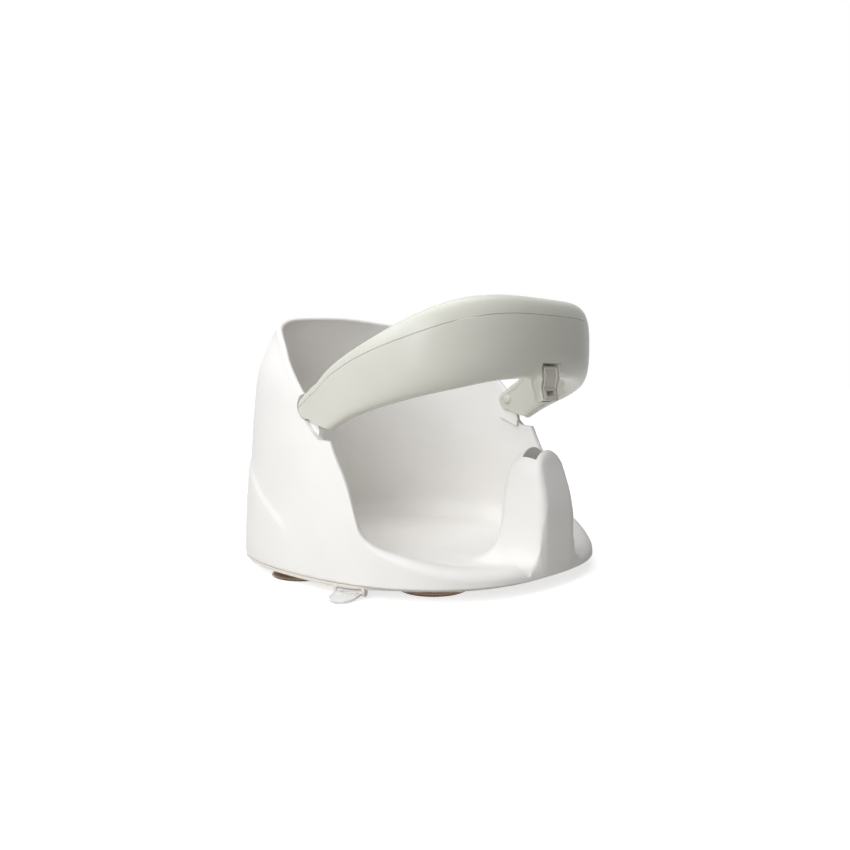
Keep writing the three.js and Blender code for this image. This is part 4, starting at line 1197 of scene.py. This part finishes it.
# The release tab: its leaf, the rim round it, its finger ridges, and its barrel on the pin
TAB_PLACE = (0.1456, -0.0595, 0.0052)
TAB_TURN = -14
TAB_DROOP = 9.5
TAB_HALF = 0.012
TAB_LENGTH = 0.023
TAB_THICKNESS = 0.0018
TAB_RIM = 0.0016
TAB_RECESS = 0.0004
RIDGE_PLACES = (0.0041, 0.0067)
RIDGE_HALF = 0.0006
RIDGE_INSET = 0.0022
RIDGE_TOP = 0.0014
TAB_BARREL = 0.0024
TAB_BORE = 0.0014
# How far a solid that is joined or cut reaches past the face of the other one
SUNK = 0.0002


def cup_mesh(place):
    """A suction cup with a beaded lip, stepped dome, neck and button head."""
    return lathe(CUP_PROFILE, 96, Matrix.Translation((*place, 0)))


def screw_mesh(low, high):
    """A screw with a domed head, cross recess and thread, driven upwards."""
    profile = [*SCREW_DOME, (SCREW_SHANK, SCREW_DOME[-1][1])]
    for k in range(int((THREAD_END - SCREW_DOME[-1][1]) / SCREW_PITCH)):
        z = THREAD_START + k * SCREW_PITCH
        profile += [(SCREW_ROOT, z), (SCREW_SHANK, z + SCREW_PITCH / 2)]
    profile += [(SCREW_ROOT, SCREW_SHOULDER), (0, SCREW_TIP)]
    bm = lathe(profile, 32)
    for x, y in RECESS_BARS:
        bm = combined(bm, block((-x, -y, -SUNK), (x, y, RECESS_DEPTH)), "DIFFERENCE")
    middle = box_middle(low, high)
    bmesh.ops.translate(bm, verts=bm.verts, vec=(middle.x, middle.y, low.z))
    return bm


def barrel_mesh(radius, length, sides):
    """A round bar along Y, centred on the tab's axis."""
    bm = bmesh.new()
    bmesh.ops.create_cone(bm, cap_ends=True, segments=sides, radius1=radius, radius2=radius, depth=length,
                          matrix=Matrix.Rotation(math.pi / 2, 4, "X"))
    return bm


def tab_leaf():
    """The tab's flat leaf with a round end, and a raised rim on both faces."""
    end = arc(TAB_LENGTH - TAB_HALF, 0, TAB_HALF, -90, 90, 28)
    outline = [(0, -TAB_HALF), *end, (0, TAB_HALF)]
    bm = bmesh.new()
    face = bm.faces.new([bm.verts.new((x, y, -TAB_THICKNESS / 2)) for x, y in outline])
    moved = bmesh.ops.extrude_face_region(bm, geom=[face])
    top = [v for v in moved["geom"] if isinstance(v, bmesh.types.BMVert)]
    bmesh.ops.translate(bm, verts=top, vec=(0, 0, TAB_THICKNESS))
    bmesh.ops.recalc_face_normals(bm, faces=bm.faces)
    for flat in [f for f in bm.faces if abs(f.normal.z) > 0.9]:
        bmesh.ops.inset_region(bm, faces=[flat], thickness=TAB_RIM, depth=0)
        bmesh.ops.inset_region(bm, faces=[flat], thickness=TAB_RECESS, depth=-TAB_RECESS)
    return bm


def tab_mesh(side):
    """A soft release tab: rounded leaf with a raised rim, finger ridges and hinge barrel."""
    bm = tab_leaf()
    ridge_half = TAB_HALF - RIDGE_INSET
    for place in RIDGE_PLACES:
        ridge = block((place - RIDGE_HALF, -ridge_half, -SUNK), (place + RIDGE_HALF, ridge_half, RIDGE_TOP))
        bm = combined(bm, ridge, "UNION")
    bm = combined(bm, barrel_mesh(TAB_BARREL, 2 * TAB_HALF, 32), "UNION")
    bm = combined(bm, barrel_mesh(TAB_BORE, 3 * TAB_HALF, 24), "DIFFERENCE")
    x, y, z = TAB_PLACE
    turn = Matrix.Rotation(math.radians(TAB_TURN if side > 0 else 180 - TAB_TURN), 4, "Z")
    droop = Matrix.Rotation(math.radians(TAB_DROOP), 4, "Y")
    bmesh.ops.transform(bm, matrix=Matrix.Translation((side * x, y, z)) @ turn @ droop, verts=bm.verts)
    return bm


def cad_copy(name):
    """A welded copy of a node's own mesh, with its flat faces whole."""
    bm = bmesh.new()
    bm.from_mesh(NODES[name].data)
    bmesh.ops.remove_doubles(bm, verts=bm.verts, dist=MERGE)
    bmesh.ops.recalc_face_normals(bm, faces=bm.faces)
    bmesh.ops.dissolve_limit(bm, angle_limit=math.radians(1), verts=bm.verts, edges=bm.edges)
    return bm


class BuildUnderside(bpy.types.Operator):
    """Builds the base plate, suction cups, screws and release tabs"""

    bl_idname = "bath_seat.underside"
    bl_label = "Plate, cups, screws and tabs"

    def execute(self, context):
        dress(cad_copy("base_plate"), "base_plate_moulding", "base_plate", sharp=40, edge=0.0003)
        for name in NODES:
            low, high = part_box(name)
            if name.startswith("suction_cup"):
                dress(cup_mesh(box_middle(low, high).xy), f"{name}_moulding", name, sharp=60)
            elif name.startswith("plate_screw"):
                dress(screw_mesh(low, high), f"{name}_turned", name, sharp=40)
            elif name.startswith("release_tab_pin"):
                dress(cad_copy(name), f"{name}_turned", name, sharp=40, edge=0.0002)
            elif name.startswith("release_tab"):
                tab = tab_mesh(-1 if "left" in name else 1)
                dress(tab, f"{name}_moulding", name, sharp=32, edge=0.00025)
        return {"FINISHED"}


# Stage

# The camera's place, its turn about the seat and drop in degrees, and its lens
CAMERA_PLACE = (-0.5887, -0.5444, 0.1812)
CAMERA_TURN = -47.8
CAMERA_DROP = 3.34
CAMERA_LENS = 33.96
SENSOR_WIDTH = 36
NEAREST_SEEN = 0.01
FLOOR_RADIUS = 14
# The floor's glow for the rays that show it grows between these distances and strengths
GLOW_DISTANCES = (0.2, 0.6)
GLOW_STRENGTHS = (0.72, 1)
# How much of the white surroundings mirrored rays see, and how much of them lights the pieces
MIRRORED_SHARE = 0.8
FILL_SHARE = 0.02
# Soft lamps: name, place, point that it faces, size, power and tint
COOL = (0.985, 1, 1.02)
NEUTRAL = (1, 1, 1)
LAMPS = [
    ("key_left", (-1.3, 0, 1.1), (0, 0, 0.12), (1, 1), 13.4, COOL),
    ("strip_left", (-1.25, -0.75, 0.65), (0, 0, 0.2), (0.5, 0.9), 7.4, COOL),
    ("high_left", (-0.7, 0.4, 1.4), (0, 0, 0.12), (0.8, 0.8), 3.6, COOL),
    ("top", (0, 0, 1.7), (0, 0, 0.1), (1.4, 1.4), 14, NEUTRAL),
]


def shown_to(tree):
    """One for the rays that show the background: straight, mirrored or through clear plastic."""
    path = node(tree, "ShaderNodeLightPath")
    glossy, through = path.outputs["Is Glossy Ray"], path.outputs["Is Transmission Ray"]
    softened = calculated(tree, "MULTIPLY", calculated(tree, "MAXIMUM", glossy, through), MIRRORED_SHARE)
    return calculated(tree, "MAXIMUM", path.outputs["Is Camera Ray"], softened)


def floor_material(tone):
    """A matt floor that keeps its shadow, and glows pale away from the seat where it is seen."""
    material, tree, shader = new_material("Pale floor")
    away = node(tree, "ShaderNodeVectorMath", operation="LENGTH")
    tree.links.new(object_place(tree), away.inputs[0])
    grown = ranged(tree, away.outputs["Value"], *GLOW_STRENGTHS, *GLOW_DISTANCES)
    glow = calculated(tree, "MULTIPLY", shown_to(tree), grown)
    tree.links.new(glow, shader.inputs["Emission Strength"])
    shader.inputs["Emission Color"].default_value = (1, 1, 1, 1)
    shader.inputs["Base Color"].default_value = (*tone, 1)
    shader.inputs["Roughness"].default_value = 0.9
    shader.inputs["Specular IOR Level"].default_value = 0.1
    return material


def white_surroundings():
    """A world that is white where it is seen or mirrored, and lights the pieces only faintly."""
    world = bpy.data.worlds.new("Studio")
    world.use_nodes = True
    tree = world.node_tree
    tree.nodes.clear()
    backdrop = node(tree, "ShaderNodeBackground", Color=(1, 1, 1, 1))
    output = node(tree, "ShaderNodeOutputWorld")
    tree.links.new(ranged(tree, shown_to(tree), FILL_SHARE, 1), backdrop.inputs["Strength"])
    tree.links.new(backdrop.outputs["Background"], output.inputs["Surface"])
    return world


def aimed(name, data, place, direction):
    """A lamp or camera at a place, looking in a direction."""
    made = bpy.data.objects.new(name, data)
    made.location = place
    made.rotation_mode = "QUATERNION"
    made.rotation_quaternion = direction.to_track_quat("-Z", "Y")
    bpy.context.scene.collection.objects.link(made)
    return made


def area_light(name, place, aim, size, power, tint):
    """A rectangular soft lamp that faces a point."""
    data = bpy.data.lights.new(name, "AREA")
    data.shape, data.size, data.size_y = "RECTANGLE", *size
    data.energy, data.color = power, tint
    aimed(name, data, place, Vector(aim) - Vector(place))


def photo_camera():
    """A camera at the photo's angle and distance."""
    data = bpy.data.cameras.new("Camera")
    data.lens, data.sensor_width = CAMERA_LENS, SENSOR_WIDTH
    data.clip_start = NEAREST_SEEN
    turn, drop = math.radians(CAMERA_TURN), math.radians(CAMERA_DROP)
    ahead = Vector((-math.sin(turn) * math.cos(drop), math.cos(turn) * math.cos(drop), -math.sin(drop)))
    return aimed("Camera", data, CAMERA_PLACE, ahead)


class BuildStage(bpy.types.Operator):
    """Builds the pale floor, the soft studio light and the camera"""

    bl_idname = "bath_seat.stage"
    bl_label = "Floor, light and camera"

    def execute(self, context):
        scene = context.scene
        bm = bmesh.new()
        bmesh.ops.create_circle(bm, cap_ends=True, radius=FLOOR_RADIUS, segments=96)
        floor = as_object(bm, "floor")
        floor.data.materials.append(floor_material(scene.bath_seat_looks.floor))
        scene.world = white_surroundings()
        for lamp in LAMPS:
            area_light(*lamp)
        scene.camera = photo_camera()
        scene.view_settings.view_transform = "Standard"
        return {"FINISHED"}


class BathSeatPanel(bpy.types.Panel):
    """Lists the steps that build the bath seat"""

    bl_idname = "VIEW3D_PT_bath_seat"
    bl_label = "Baby bath seat"
    bl_space_type = "VIEW_3D"
    bl_region_type = "UI"
    bl_category = "Bath Seat"

    def draw(self, context):
        for operator in OPERATORS:
            self.layout.operator(operator.bl_idname)
        for group in (context.scene.bath_seat_sizes, context.scene.bath_seat_looks):
            for name in group.bl_rna.properties.keys():
                if name not in ("rna_type", "name"):
                    self.layout.prop(group, name)


OPERATORS = (BuildSeatShell, BuildBar, BuildLatch, BuildUnderside, BuildStage)
CLASSES = (BathSeatSizes, BathSeatLooks, *OPERATORS, BathSeatPanel)


def register():
    for cls in CLASSES:
        bpy.utils.register_class(cls)
    bpy.types.Scene.bath_seat_sizes = PointerProperty(type=BathSeatSizes)
    bpy.types.Scene.bath_seat_looks = PointerProperty(type=BathSeatLooks)


def unregister():
    del bpy.types.Scene.bath_seat_looks
    del bpy.types.Scene.bath_seat_sizes
    for cls in reversed(CLASSES):
        bpy.utils.unregister_class(cls)


def main():
    register()
    for operator in OPERATORS:
        group, name = operator.bl_idname.split(".")
        getattr(getattr(bpy.ops, group), name)()


if __name__ == "__main__":
    main()
